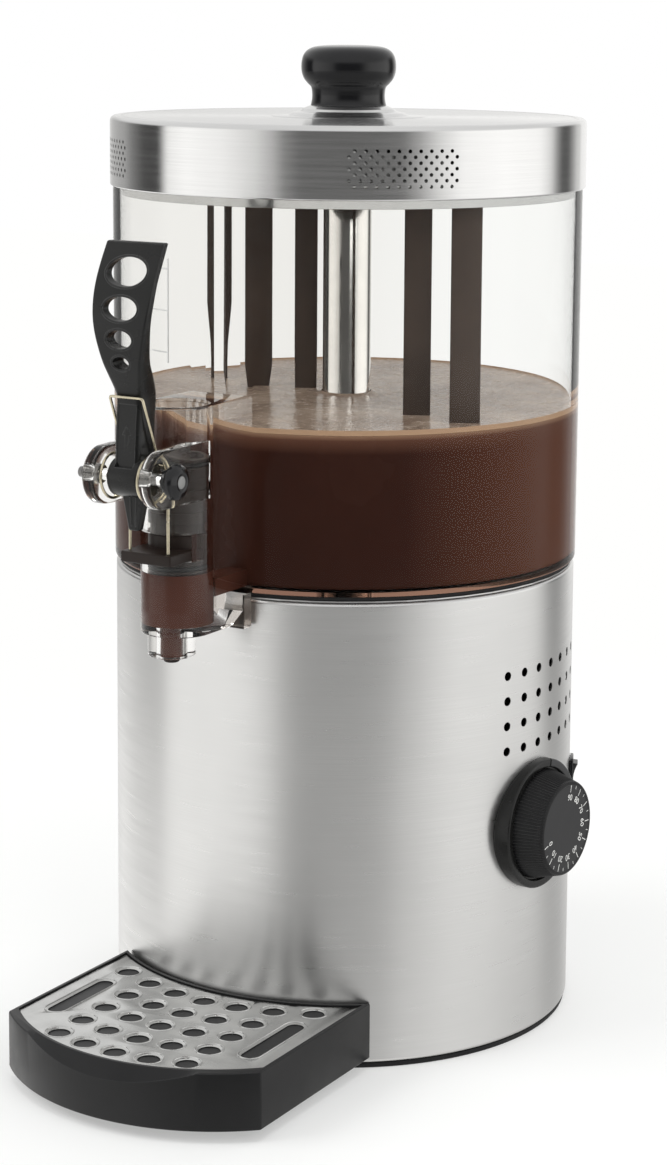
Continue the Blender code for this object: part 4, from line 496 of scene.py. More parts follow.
bladeBrown = mouldedPlastic("bladeBrown", (0.062, 0.044, 0.035), 0.5, grain=1800, depth=0.00002,
    edgeLight=0.1, Specular_IOR_Level=0.2)
valveBrown = mouldedPlastic("valveBrown", (0.016, 0.0105, 0.0085), 0.36, grain=1800, depth=0.00001,
    Specular_IOR_Level=0.2)
markWhite = mouldedPlastic("markWhite", (0.72, 0.72, 0.70), 0.5, grain=3000, depth=0.00001)
whitePlastic = mouldedPlastic("whitePlastic", (0.70, 0.69, 0.66), 0.4, grain=1500, depth=0.00001)
paleCeramic = mouldedPlastic("paleCeramic", (0.62, 0.58, 0.52), 0.55, grain=1200, depth=0.00003)
brassWire = polishedMetal("brassWire", (0.60, 0.54, 0.40), 0.20, patches=220)
copperTube = polishedMetal("copperTube", (0.66, 0.36, 0.24), 0.28, patches=160)
heaterSheath = polishedMetal("heaterSheath", (0.30, 0.28, 0.27), 0.42, patches=90)
lipSteel = polishedMetal("lipSteel", (0.62, 0.62, 0.61), 0.11, patches=30)
print("effects and plain finishes made")


# camera, floor, lamps and the room that the metal reflects
cameraSettings = {
    "azimuth": 30.363, "pitch": 7.886, "roll": 0.41, "distance": 1.6123, "height": 0.6057, "lens": 82.48,
    "shiftX": -0.01116, "shiftY": -0.1738,
}


def addCamera(settings):
    a, p, r = (math.radians(settings[key]) for key in ("azimuth", "pitch", "roll"))
    view = Vector((-math.sin(a) * math.cos(p), math.cos(a) * math.cos(p), -math.sin(p)))
    side = Vector((math.cos(a), math.sin(a), 0))
    top = side.cross(view)
    right = side * math.cos(r) + top * math.sin(r)
    top = top * math.cos(r) - side * math.sin(r)
    nothingPicked()
    bpy.ops.object.camera_add()
    camera = bpy.context.object
    camera.name = "photoCamera"
    camera.matrix_world = Matrix((
        (right.x, top.x, -view.x, settings["distance"] * math.sin(a)),
        (right.y, top.y, -view.y, -settings["distance"] * math.cos(a)),
        (right.z, top.z, -view.z, settings["height"]),
        (0, 0, 0, 1)))
    camera.data.lens = settings["lens"]
    camera.data.shift_x = settings["shiftX"]
    camera.data.shift_y = settings["shiftY"]
    camera.data.clip_start, camera.data.clip_end = 0.05, 50
    camera.data.dof.use_dof = False
    bpy.context.scene.camera = camera


addCamera(cameraSettings)

floorSettings = {"size": 9.0, "colour": (0.86, 0.865, 0.855), "glow": 1.0, "glowShare": 0.40}


def addFloor(settings):
    nothingPicked()
    bpy.ops.mesh.primitive_plane_add(size=settings["size"], location=(0, 0, 0))
    floor = named(bpy.context.object, "floor")
    pale = Finish("paleFloor", settings["colour"], 0.7)
    tree = pale.tree
    drift = noiseNode(tree, objectPlace(tree), 0.8, 2)
    pale.feed("Base Color", pale.mix(drift, settings["colour"], shade(settings["colour"], 1.03)))
    glow = newNode(tree, "Emission", {"Color": (1.0, 1.0, 0.992, 1), "Strength": settings["glow"]})
    path = newNode(tree, "LightPath").outputs
    seen = mathNode(tree, "MAXIMUM", path["Is Glossy Ray"], path["Is Transmission Ray"])
    seen = mathNode(tree, "MAXIMUM", path["Is Camera Ray"], seen)
    x, y, _ = pale.where()
    share = pale.between(fromAxis(tree, x, y), settings["glowShare"], 1.0, 0.32, 0.95)
    glowing = mathNode(tree, "MULTIPLY", seen, share)
    blend = newNode(tree, "MixShader", {0: glowing, 1: pale.shader.outputs[0], 2: glow.outputs[0]})
    tree.links.new(blend.outputs[0], tree.nodes["Material Output"].inputs["Surface"])
    floor.data.materials.append(pale.material)
    floor.visible_glossy = False


addFloor(floorSettings)

# the room seen in metal: darker where the camera stands, by the compass direction of the ray.
# Each stop is a compass angle from the tap side and a brightness; low is what the casing sees, level what
# the lid sees
roomSettings = {
    "low": (
        (-180, 0.68), (-150, 0.88), (-117, 1.24), (-88, 1.29), (-50, 1.08), (-20, 1.26), (-8, 1.14),
        (2, 0.84), (10, 0.72), (24, 0.71), (40, 0.74), (50, 0.82), (60, 1.05), (82, 0.93), (105, 0.84),
        (130, 0.69), (156, 0.66), (180, 0.62)),
    "level": (
        (-180, 1.10), (-150, 0.95), (-129, 0.62), (-104, 0.46), (-95, 0.24), (-84, 0.07), (-71, 0.03),
        (-65, 1.25), (-52, 1.45), (-32, 1.32), (-14, 0.98), (-5, 0.60), (0, 0.26), (8, 0.11), (40, 0.10),
        (56, 0.15), (64, 0.45), (74, 0.98), (86, 1.42), (110, 1.55), (134, 1.45), (143, 1.05),
        (149, 0.40), (154, 0.12), (161, 0.12), (168, 0.45), (174, 0.80)),
    "warm": (1.0, 0.995, 0.98), "levelFrom": -0.27, "levelTo": -0.17, "daylight": 0.62,
    "overheadFrom": 0.12, "overheadTo": 0.35, "overhead": (0.95, 0.95, 0.945),
}


def addRoom(settings):
    world = bpy.data.worlds.new("studioRoom")
    bpy.context.scene.world = world
    world.use_nodes = True
    tree = world.node_tree
    tree.nodes.clear()
    generated = newNode(tree, "TexCoord").outputs["Generated"]
    x, y, z = newNode(tree, "SeparateXYZ", {0: generated}).outputs
    compass = mathNode(tree, "ARCTAN2", x, mathNode(tree, "MULTIPLY", y, -1.0))
    share = mathNode(tree, "ADD", mathNode(tree, "DIVIDE", compass, fullTurn), 0.5)
    bands = []
    for height in ("low", "level"):
        ramp = newNode(tree, "ValToRGB", {"Fac": share})
        ramp.color_ramp.interpolation = "LINEAR"
        stops = settings[height]
        while len(ramp.color_ramp.elements) < len(stops):
            ramp.color_ramp.elements.new(0.5)
        for element, stop in zip(ramp.color_ramp.elements, stops):
            element.position = (stop[0] + 180) / 360
        for element, stop in zip(ramp.color_ramp.elements, stops):
            element.color = (*[c * stop[1] for c in settings["warm"]], 1)
        bands.append(ramp.outputs["Color"])

    def rising(low, high):  # from 0 to 1 between two slopes of the ray
        inputs = {"Value": z, "From Min": low, "From Max": high}
        return newNode(tree, "MapRange", inputs, interpolation_type="SMOOTHSTEP").outputs["Result"]

    def blended(mask, first, second):
        return newNode(tree, "Mix", {0: mask, 6: first, 7: second}, data_type="RGBA").outputs[2]

    def lit(colour, strength=1.0):
        return newNode(tree, "Background", {"Color": colour, "Strength": strength}).outputs[0]

    walls = blended(rising(settings["levelFrom"], settings["levelTo"]), *bands)
    ceiling = rising(settings["overheadFrom"], settings["overheadTo"])
    reflected = lit(blended(ceiling, walls, (*settings["overhead"], 1)))
    white = (1, 1, 1, 1)
    path = newNode(tree, "LightPath").outputs
    # a ray that has met metal keeps its reflection when it leaves through the clear wall
    mirrored = mathNode(tree, "MINIMUM", path["Glossy Depth"], 1.0)
    notSoft = mathNode(tree, "SUBTRACT", 1.0, path["Is Diffuse Ray"])
    shiny = mathNode(tree, "MULTIPLY", mirrored, notSoft)
    glossy = newNode(tree, "MixShader", {0: shiny, 1: lit(white, settings["daylight"]), 2: reflected})
    direct = mathNode(tree, "MAXIMUM", path["Is Camera Ray"], path["Is Transmission Ray"])
    direct = mathNode(tree, "MULTIPLY", direct, mathNode(tree, "SUBTRACT", 1.0, mirrored))
    shown = newNode(tree, "MixShader", {0: direct, 1: glossy.outputs[0], 2: lit(white)})
    newNode(tree, "OutputWorld", {"Surface": shown.outputs[0]})


addRoom(roomSettings)

# name, place, looks at, size, watts, seen in reflections
lampSettings = (
    ("keyLamp", (-1.5, -1.5, 1.9), (0, 0, 0.3), 1.3, 26, False),
    ("fillLamp", (1.9, -1.2, 1.4), (0, 0, 0.3), 1.4, 15, False),
    ("topLamp", (0.2, -0.2, 2.3), (0, 0, 0.3), 1.5, 16, False),
    ("rearLamp", (0.3, 1.9, 1.5), (0, 0, 0.35), 1.4, 14, False),
)
for lampName, spot, aim, size, watts, shiny in lampSettings:
    nothingPicked()
    bpy.ops.object.light_add(type="AREA", location=spot)
    lamp = bpy.context.object
    lamp.name = lampName
    lamp.rotation_euler = (Vector(aim) - Vector(spot)).to_track_quat("-Z", "Y").to_euler()
    lamp.data.size = size
    lamp.data.energy = watts
    lamp.visible_glossy = shiny
view = bpy.context.scene.view_settings
view.view_transform = "Standard"
print("camera, floor, room and lamps set")


# casing: brushed sheet, rolled edges, vents and openings
casing = {
    "radius": 0.1400, "bottom": 0.0033, "top": 0.2743, "sheet": 0.0008, "flange": 0.0130, "roll": 0.0022,
    "steps": 224, "ventRadius": 0.0027, "ventFirst": 73.0, "ventStep": 6.1, "ventColumns": 10,
    "ventRows": 4, "ventTop": 0.2238, "ventPitch": 0.0150, "dialAngle": 85.0, "dialHeight": 0.1300,
    "dialHole": 0.0056, "switchAngle": 115.0, "switchHeight": 0.1400, "switchHole": (0.0063, 0.0100),
    "glandAngle": 180.0, "glandHeight": 0.0350, "glandHole": 0.0068, "screwCircle": 0.1330,
    "screwHole": 0.0021, "tongueLow": (-0.0266, -0.1460, 0.0059), "tongueHigh": (0.0266, -0.1329, 0.0098),
}


def buildCasing(c):
    outer, inner, edge = c["radius"], c["radius"] - c["sheet"], c["radius"] - c["flange"]
    low, high, sheet, roll = c["bottom"], c["top"], c["sheet"], c["roll"]
    profile = rounded([
        (outer, low, roll), (outer, high, roll), (edge, high, 0), (edge, high - sheet, 0),
        (inner, high - sheet, roll - sheet), (inner, low + sheet, roll - sheet), (edge, low + sheet, 0),
        (edge, low, 0)], 5)
    shell = turnedPiece("casing", profile, c["steps"])
    near, far = outer - 0.004, outer + 0.004
    tools = []
    first = peg("vent", c["ventRadius"], near, far, 24)
    for row in range(c["ventRows"]):
        for column in range(c["ventColumns"]):
            matrix = radialFrame(c["ventFirst"] + c["ventStep"] * column,
                c["ventTop"] - c["ventPitch"] * row)
            tools.append(copyOf(first, f"vent{row}{column}", matrix))
    bpy.data.objects.remove(first, do_unlink=True)
    tools.append(peg("dialOpening", c["dialHole"], near, far, 32,
        radialFrame(c["dialAngle"], c["dialHeight"])))
    tools.append(peg("glandOpening", c["glandHole"], near, far, 32,
        radialFrame(c["glandAngle"], c["glandHeight"])))
    w, h = c["switchHole"]
    tools.append(settle(block("switchOpening", (-w, -h, near), (w, h, far)),
        radialFrame(c["switchAngle"], c["switchHeight"])))
    for i in range(4):
        turn = math.radians(45 + 90 * i)
        spot = Matrix.Translation((c["screwCircle"] * math.cos(turn), c["screwCircle"] * math.sin(turn), 0))
        tools.append(peg(f"screwOpening{i}", c["screwHole"], low - 0.004, low + sheet + 0.004, 16, spot))
    tools.append(block("tongueOpening", c["tongueLow"], c["tongueHigh"]))
    carve(shell, *tools)
    tidy(shell)
    trueWall(shell, outer)
    return finished(shell, casingSteel, "base", ["casing_shell"])


def trueWall(shell, radius):  # the round wall shades as one smooth cylinder, whatever is cut in it
    smooth(shell, 32)
    mesh = shell.data
    normals = [tuple(c.vector) for c in mesh.corner_normals]
    for face in mesh.polygons:
        flat = Vector((face.center.x, face.center.y, 0))
        if abs(face.normal.z) < 0.05 and flat.length > radius - 0.003 and abs(
                face.normal.dot(flat.normalized())) > 0.99:
            way = 1 if face.normal.dot(flat) > 0 else -1
            for corner in face.loop_indices:
                spot = mesh.vertices[mesh.loops[corner].vertex_index].co
                normals[corner] = tuple(Vector((spot.x, spot.y, 0)).normalized() * way)
    mesh.normals_split_custom_set(normals)


buildCasing(casing)
print("casing cut and finished")

# drip tray: moulded, hollow, with the low crescent in its front wall
tray = {
    "halfWidth": 0.0850, "bottom": 0.0068, "top": 0.0400, "wall": 0.0025, "frontWall": 0.0060,
    "floor": 0.0025, "corner": 0.2305, "apex": 0.2640, "rear": 0.1412, "ledge": 0.0022, "drop": 0.0022,
    "land": 0.0012, "scoopHalf": 0.0570, "scoopDepth": 0.0095, "tongue": (0.0260, 0.0062, 0.0092, 0.0120),
}


# from the left front corner round the front, then the hollow rear
def trayOutline(t, inset, frontInset, steps=40):
    half = t["halfWidth"] - inset
    rise = t["apex"] - t["corner"]
    radius = (t["halfWidth"] ** 2 + rise ** 2) / (2 * rise)
    centre = t["apex"] - radius
    reach = radius - frontInset
    start = math.asin(half / reach)
    front = [(reach * math.sin(-start + 2 * start * i / steps),
        -centre - reach * math.cos(-start + 2 * start * i / steps))
             for i in range(steps + 1)]
    back = t["rear"] + inset
    end = math.asin(half / back)
    rear = [(back * math.sin(end - 2 * end * i / steps),
        -back * math.cos(end - 2 * end * i / steps)) for i in range(steps + 1)]
    return front + rear


def buildTray(t):
    ledge = t["top"] - t["drop"]
    body = slab("tray", trayOutline(t, 0, 0), t["bottom"], t["top"])
    softenEdges(body, 0.0010, 3, angle=40)
    seat = slab("seat", trayOutline(t, t["wall"], t["frontWall"]), ledge, t["top"] + 0.01)
    pocket = slab("pocket", trayOutline(t, t["wall"] + t["ledge"], t["frontWall"] + t["ledge"]),
        t["bottom"] + t["floor"], t["top"])
    softenEdges(pocket, 0.0020, 3, lambda a, b: max(a.z, b.z) < t["bottom"] + t["floor"] + 0.001, 40)
    rise = t["apex"] - t["corner"]
    radius = (t["halfWidth"] ** 2 + rise ** 2) / (2 * rise)
    centre = radius - t["apex"]
    rings = []
    for i in range(49):  # the crescent: sections across the front wall, deepest in the middle
        share = -1 + 2 * i / 48
        x = t["scoopHalf"] * share
        depth = t["scoopDepth"] * (1 - share * share) + 0.0004
        near = centre - sideAt(radius - t["frontWall"] + t["land"], x)
        far = centre - sideAt(radius, x)
        low = t["top"] - depth - (depth / (near - far)) * 0.004
        rings.append([(x, near, t["top"] + 0.0004), (x, far - 0.004, low),
            (x, far - 0.004, t["top"] + 0.004), (x, near, t["top"] + 0.004)])
    carve(body, seat, pocket)
    carve(body, skinned("scoop", rings))
    half, low, high, reach = t["tongue"]
    tongue = block("tongue", (-half, -t["rear"] - t["wall"], low), (half, -0.1400 + reach, high))
    softenEdges(tongue, 0.0006, 2)
    carve(body, tongue, operation="UNION")
    tidy(body)
    smooth(body, 24)
    return finished(body, blackTray, "tray", ["drip_tray"])


buildTray(tray)
print("tray moulded")

# grille: pressed sheet with dished holes and two long slots
grille = {
    "clear": 0.0005, "low": 0.0381, "high": 0.0393, "hole": 0.0062, "dish": 0.0079, "dip": 0.0009,
    "firstRow": 0.1575, "rowPitch": 0.0222, "rows": 5, "columnPitch": 0.0214, "bend": 0.1300,
    "slotX": 0.0655, "slotHalf": 0.0050, "slotNear": 0.1640, "slotFar": 0.2110, "slotDish": 0.0016,
}


def grilleSpots(g):
    spots = []
    for row in range(g["rows"]):
        side = 3 if row == 0 else 2
        for column in range(-side, side + 1):
            x = g["columnPitch"] * column
            spots.append((x, x * x / (2 * g["bend"]) - g["firstRow"] - g["rowPitch"] * row))
    return spots


def slotOutline(g, x, half):
    near = arcPoints((x, -g["slotNear"]), half, 0, math.pi, 12)
    return near + arcPoints((x, -g["slotFar"]), half, math.pi, fullTurn, 12)


def buildGrille(g, t):
    plate = slab("grille", trayOutline(t, t["wall"] + g["clear"], t["frontWall"] + g["clear"]), g["low"],
        g["high"])
    softenEdges(plate, 0.0004, 2, angle=40)
    lip, high = g["dish"], g["high"]
    profile = [(0, g["low"] - 0.002), (g["hole"], g["low"] - 0.002), (g["hole"], high - g["dip"]),
        (g["hole"] + 0.0004, high - g["dip"] * 0.62),
               (lip - 0.0004, high - 0.0001), (lip + 0.0004, high + 0.00002), (lip + 0.0004, high + 0.002),
               (0, high + 0.002)]
    first = turnedPiece("dishTool", profile, 40)
    dishes = [copyOf(first, f"dishTool{i}", Matrix.Translation((x, y, 0))) for i,
        (x, y) in enumerate(grilleSpots(g))]
    bpy.data.objects.remove(first, do_unlink=True)
    slots, slotDishes = [], []
    for side in (-1, 1):
        x = g["slotX"] * side
        slots.append(slab(f"slotTool{side}", slotOutline(g, x, g["slotHalf"]), g["low"] - 0.002,
            high + 0.002))
        rings = [[(a, b, z) for a, b in slotOutline(g, x, half)] for half, z in (
            (g["slotHalf"] + 0.0002, high - g["dip"]), (g["slotHalf"] + g["slotDish"], high + 0.00002),
            (g["slotHalf"] + g["slotDish"], high + 0.001))]
        slotDishes.append(skinned(f"slotDish{side}", rings))
    for tools in (dishes, slots, slotDishes):
        carve(plate, *tools)
    # a thin rolled lip round every opening
    lips = []
    for i, (x, y) in enumerate(grilleSpots(g)):
        nothingPicked()
        bpy.ops.mesh.primitive_torus_add(
            major_segments=40, minor_segments=8, major_radius=lip + 0.0002, minor_radius=0.00045,
            location=(x, y, high - 0.0001))
        lips.append(settle(named(bpy.context.object, f"lip{i}")))
    for side in (-1, 1):
        line = [(a, b, high - 0.0001) for a, b in slotOutline(g, g["slotX"] * side,
            g["slotHalf"] + g["slotDish"] + 0.0002)]
        lips.append(wire(f"slotLip{side}", line, 0.00045, 8, True))
    tidy(plate)
    glue(plate, *lips)
    smooth(plate, 40)
    return finished(plate, grilleSteel, "grille", ["drip_grille"])


buildGrille(grille, tray)
print("grille pressed")


# lid: brushed cap with air holes and a stepped boss
lid = {
    "radius": 0.1430, "top": 0.5427, "bottom": 0.5015, "sheet": 0.0008, "edge": 0.0030,
    "bossFoot": 0.0335, "bossTop": 0.0225, "bossHeight": 0.0062, "screwHole": 0.0033, "steps": 256,
    "patchAngles": (43, -47, 133, -137), "rows": (10, 11, 10, 11, 10, 11, 10), "pitch": 0.0062,
    "rowPitch": 0.00328, "firstRow": 0.5093, "airHole": 0.00108,
}


def buildLid(d):
    outer, top, bottom, sheet, edge = d["radius"], d["top"], d["bottom"], d["sheet"], d["edge"]
    bossTop = top + d["bossHeight"]
    corners = [
        (outer - 0.0012, bottom, 0.0003), (outer, bottom, 0.0009), (outer, top, edge),
        (outer - 0.0052, top, 0), (outer - 0.0060, top - 0.0004, 0), (outer - 0.0070, top - 0.0004, 0),
        (outer - 0.0078, top, 0.0003), (0.0470, top, 0.001), (0.0460, top + 0.0005, 0.0004),
        (d["bossFoot"] + 0.0030, top + 0.0007, 0.001), (d["bossFoot"], top + 0.0022, 0.0008),
        (0.0290, top + 0.0030, 0.0012), (0.0275, top + 0.0046, 0.0008),
        (d["bossTop"] + 0.001, bossTop, 0.0008), (d["screwHole"], bossTop, 0),
        (d["screwHole"], bossTop - sheet, 0), (d["bossTop"], bossTop - sheet, 0.0008),
        (0.0265, top + 0.0046 - sheet, 0.0006), (0.0280, top + 0.0030 - sheet, 0.0006),
        (d["bossFoot"] - 0.001, top + 0.0022 - sheet, 0.0008), (d["bossFoot"] + 0.002, top - sheet, 0.001),
        (outer - sheet, top - sheet, edge - sheet), (outer - sheet, bottom + 0.0030, 0),
        (outer - 0.0012, bottom + 0.0030, 0.0002)]
    shell = turnedPiece("lid", rounded(corners, 4), d["steps"], degrees=40)
    tools = []
    first = peg("airHole", d["airHole"], outer - 0.004, outer + 0.004, 14)
    for patch, angle in enumerate(d["patchAngles"]):
        for row, count in enumerate(d["rows"]):
            for column in range(count):
                turn = angle + math.degrees((column - (count - 1) / 2) * d["pitch"] / outer)
                tools.append(copyOf(first, f"airHole{patch}{row}{column}",
                    radialFrame(turn, d["firstRow"] + d["rowPitch"] * row)))
    bpy.data.objects.remove(first, do_unlink=True)
    carve(shell, *tools)
    tidy(shell)
    trueWall(shell, outer)
    return finished(shell, lidSteel, "lid", ["lid_shell"])


buildLid(lid)
print("lid turned and pierced")

# the ring inside the lid: it rests on the tank's rim and its skirt shows below the lid
lidRing = {
    "outer": 0.1378, "sheet": 0.0008, "low": 0.4965, "top": 0.5380, "flange": 0.1412, "flangeLow": 0.5087,
    "flangeTop": 0.5117, "steps": 224,
}


def buildLidRing(r):
    outer, inner, flange = r["outer"], r["outer"] - r["sheet"], r["flange"]
    ring = turnedPiece("lidRing", rounded([
        (inner, r["low"], 0.0003), (outer, r["low"], 0.0003), (outer, r["flangeLow"], 0.0003),
        (flange, r["flangeLow"], 0.0004), (flange, r["flangeTop"], 0.0004),
        (outer, r["flangeTop"], 0.0003), (outer, r["top"], 0.0003), (inner, r["top"], 0.0003)], 3),
        r["steps"])
    return finished(ring, lipSteel, "lid", ["lid_ring"])


buildLidRing(lidRing)

# grip on the lid
grip = {
    "low": 0.5492, "height": 0.0360, "radius": 0.0285, "bore": 0.0033, "boreTop": 0.5655, "steps": 96,
    "side": (
        (0.80, 0.00), (0.785, 0.04), (0.77, 0.12), (0.77, 0.20), (0.79, 0.30), (0.86, 0.36), (0.94, 0.44),
        (0.985, 0.53), (1.00, 0.63), (0.99, 0.74), (0.95, 0.84), (0.86, 0.92), (0.70, 0.972),
        (0.40, 0.995), (0.0, 1.0)),
}


def buildGrip(g):
    line = smoothRun([(g["radius"] * r, 0, g["low"] + g["height"] * h) for r, h in g["side"]], 4)
    side = [(max(0.0, min(p.x, g["radius"])), min(p.z, g["low"] + g["height"])) for p in line]
    profile = [(g["bore"], g["low"])] + side + [(0, g["boreTop"]), (g["bore"], g["boreTop"])]
    handle = turnedPiece("grip", profile, g["steps"], degrees=50)
    return finished(handle, blackGloss, "lid", ["lid_grip"])


buildGrip(grip)
print("grip turned")


# clear tank with its tap housing, one moulding
# the tint fades from one side of the picture to the other
def clearPlastic(name, left, right, index, ripple):
    clear = Finish(name, right, 0.02, 0.0, Transmission_Weight=1.0, IOR=index)
    x, y, _ = clear.where()
    across = mathNode(clear.tree, "ADD", mathNode(clear.tree, "MULTIPLY", x, 0.863),
        mathNode(clear.tree, "MULTIPLY", y, 0.505))
    clear.feed("Base Color", clear.mix(clear.between(across, 0, 1, -0.02, 0.075), left, right))
    skin = clear.group(mouldedSkin, Grain=60, Patches=18)
    clear.feed("Roughness", clear.between(skin["Patches"], 0.008, 0.040, 0.35, 0.7))
    clear.feed("Normal", clear.bump(skin["Grain"], 0.00012, ripple))
    return seeThrough(clear)


# the thin wall
clearTank = clearPlastic("clearTank", (0.925, 0.920, 0.905), (0.972, 0.974, 0.966), 1.13, 0.12)
# the thick tap housing
clearHousing = clearPlastic("clearHousing", (0.955, 0.945, 0.925), (0.965, 0.955, 0.935), 1.32, 0.10)
# the floor's edge, painted brown-dark for the chocolate seen through it and the shade of the gap above the
# casing
clearFootPaintedDark = clearPlastic("clearFootPaintedDark", (0.26, 0.14, 0.10), (0.36, 0.20, 0.14), 1.13, 0.10)
# the lug, painted grey-brown for the chocolate and shade seen through it
clearLugPaintedDark = clearPlastic("clearLugPaintedDark", (0.34, 0.30, 0.27), (0.40, 0.36, 0.33), 1.25, 0.30)

tank = {
    "bottom": 0.2780, "floor": 0.2815, "taper": 0.00001, "top": 0.5085, "lowRadius": 0.1408,
    "topRadius": 0.1414, "wall": 0.0030, "spigotOuter": 0.1254, "spigotInner": 0.1224,
    "spigotLow": 0.2700, "columnHole": 0.01515, "steps": 224, "noseHalf": 0.0205, "noseY": 0.1840,
    "noseTop": 0.3910, "chinLow": 0.2628, "chinRear": 0.1415, "slopeRun": 0.0200, "slopeRise": 0.0110,
    "lugHalf": 0.0215, "lugThick": 0.0075, "lugLow": 0.2590, "bore": 0.0168, "boreLow": 0.2678,
    "channelHalf": 0.0115, "channelTop": 0.2910, "window": (0.0170, 0.3052, 0.3207), "nozzleY": 0.1900,
    "nozzle": 0.0133, "nozzleBore": 0.0065, "nozzleLow": 0.2503, "pivotY": 0.2277, "pivotZ": 0.3560,
    "earInner": 0.0147, "earThick": 0.0075, "earRadius": 0.0160, "earRoot": 0.1850, "pinHole": 0.0033,
}


def uOutline(half, frontY, rear, steps=32):  # seen from above: straight sides and a round front
    return [(half, -rear), (-half, -rear)] + arcPoints((0, -frontY), half, -math.pi, 0, steps)


def acrossPeg(name, radius, low, high, y, z, steps):
    return peg(name, radius, low, high, steps, Matrix.Translation((0, y, z)) @ Matrix.Rotation(math.pi / 2,
        4, "Y"))


def buildTank(t):
    low, floor, top, wall = t["bottom"], t["floor"], t["top"], t["wall"]
    profile = rounded([
        (t["columnHole"], low, 0), (t["spigotInner"], low, 0.0006),
        (t["spigotInner"], t["spigotLow"], 0.0008), (t["spigotOuter"], t["spigotLow"], 0.0008),
        (t["spigotOuter"], low, 0.0006), (t["lowRadius"], low, 0.0012),
        (t["lowRadius"] + t["taper"], floor + t["taper"], 0), (t["topRadius"], top, 0.0010),
        (t["topRadius"] - wall, top, 0.0010),
        (t["lowRadius"] - wall, floor, 0.0030), (t["columnHole"], floor, 0)], 4)
    body = turnedPiece("tank", profile, t["steps"])
    nose = slab("nose", uOutline(t["noseHalf"], t["noseY"], t["lowRadius"] - 0.0023), low, t["noseTop"])
    softenEdges(nose, 0.0009, 3, lambda a, b: min(a.z, b.z) > t["noseTop"] - 0.0001 and min(a.y,
        b.y) < -0.1415, 40)
    chin = slab("chin", uOutline(t["noseHalf"], t["noseY"], t["chinRear"]), t["chinLow"], low + 0.0008)
    rear, run = -t["chinRear"], t["slopeRun"]
    slope = slab("slope", [(rear - run, t["chinLow"]), (rear, t["chinLow"] + t["slopeRise"]),
        (rear + 0.004, t["chinLow"] + t["slopeRise"]),
                           (rear + 0.004, t["chinLow"] - 0.004), (rear - run, t["chinLow"] - 0.004)],
                           -0.0245, 0.0245, axis="X")
    carve(chin, slope)
    tidy(chin)
    softenEdges(chin, 0.0012, 3, lambda a, b: max(a.z, b.z) < t["chinLow"] + 0.0001 and max(a.y,
        b.y) < rear - 0.001, 40)
    lug = block("lug", (-t["lugHalf"], rear - t["lugThick"], t["lugLow"]),
        (t["lugHalf"], rear, low + 0.0008))
    softenEdges(lug, 0.0007, 2, lambda a, b: max(a.z, b.z) < low, 40)
    nozzle = turnedPiece("nozzle", rounded([(0, t["nozzleLow"], 0), (t["nozzle"], t["nozzleLow"], 0.0012),
        (t["nozzle"], t["chinLow"] + 0.0008, 0), (0, t["chinLow"] + 0.0008, 0)], 4),
                         64, Matrix.Translation((0, -t["nozzleY"], 0)))
    joined = [nose, chin, lug, nozzle]
    for side in (-1, 1):
        faces = sorted((side * t["earInner"], side * (t["earInner"] + t["earThick"])))
        outline = [(-t["earRoot"], t["pivotZ"] + t["earRadius"]),
            (-t["earRoot"], t["pivotZ"] - t["earRadius"])] + arcPoints(
            (-t["pivotY"], t["pivotZ"]), t["earRadius"], 1.5 * math.pi, 0.5 * math.pi, 40)
        ear = slab(f"ear{side}", outline, faces[0], faces[1], axis="X")
        softenEdges(ear, 0.0016, 4, lambda a, b: max(a.y, b.y) < -t["earRoot"] - 0.001, 40)
        joined.append(ear)
    for piece in joined:
        carve(body, piece, operation="UNION")
    inside = [peg("bore", t["bore"], t["boreLow"], t["noseTop"] + 0.004, 72,
        Matrix.Translation((0, -t["noseY"], 0))),
              block("channel", (-t["channelHalf"], -t["noseY"], floor),
              (t["channelHalf"], 0.007 - t["lowRadius"], t["channelTop"])),
              block("window", (-t["window"][0], -t["noseY"] - t["noseHalf"] - 0.004, t["window"][1]),
              (t["window"][0], -t["noseY"], t["window"][2])),
              peg("nozzleBore", t["nozzleBore"], t["nozzleLow"] - 0.004, t["boreLow"] + 0.004, 40,
              Matrix.Translation((0, -t["nozzleY"], 0))),
              acrossPeg("pinHole", t["pinHole"], -0.03, 0.03, -t["pivotY"], t["pivotZ"], 32)]
    for piece in inside:
        carve(body, piece)
    # a shallow step round the chamber's mouth
    carve(body, turnedPiece("mouth", [(0, t["noseTop"] - 0.0016), (0.0184, t["noseTop"] - 0.0016),
        (0.0184, t["noseTop"] + 0.002), (0, t["noseTop"] + 0.002)],
                            72, Matrix.Translation((0, -t["noseY"], 0))))
    tidy(body)
    smooth(body, 34)
    finished(body, [clearTank, clearHousing, clearFootPaintedDark, clearLugPaintedDark], "tank_group", ["tank"])
    for face in body.data.polygons:
        spot = face.center
        housing = spot.y < -0.1412 and abs(spot.x) < 0.030
        # the lug's faces take the painted grey-brown finish
        if housing and spot.z < low and spot.y > rear - t["lugThick"] - 0.0002:
            face.material_index = 3
        elif housing:
            face.material_index = 1
        # the foot's faces: painted dark for the chocolate seen through them and the shade below
        elif spot.z < floor and math.hypot(spot.x, spot.y) > t["lowRadius"] - 0.0015:
            face.material_index = 2
    return body


buildTank(tank)

# faint level marks on the left of the wall: an upright line with three short ticks
levelMarks = {
    "inner": 0.1406, "outer": 0.14135, "turn": -16.1, "reach": 6.2, "half": 0.00035, "low": 0.4050,
    "high": 0.4650, "ticks": (0.4590, 0.4350, 0.4110),
}


def wallStrip(name, m, first, last, low, high):  # a thin strip bent to the wall, between two compass angles
    start, end = math.radians(first - 90), math.radians(last - 90)
    outline = arcPoints((0, 0), m["outer"], start, end, 10) + arcPoints((0, 0), m["inner"], end, start, 10)
    return slab(name, outline, low, high)


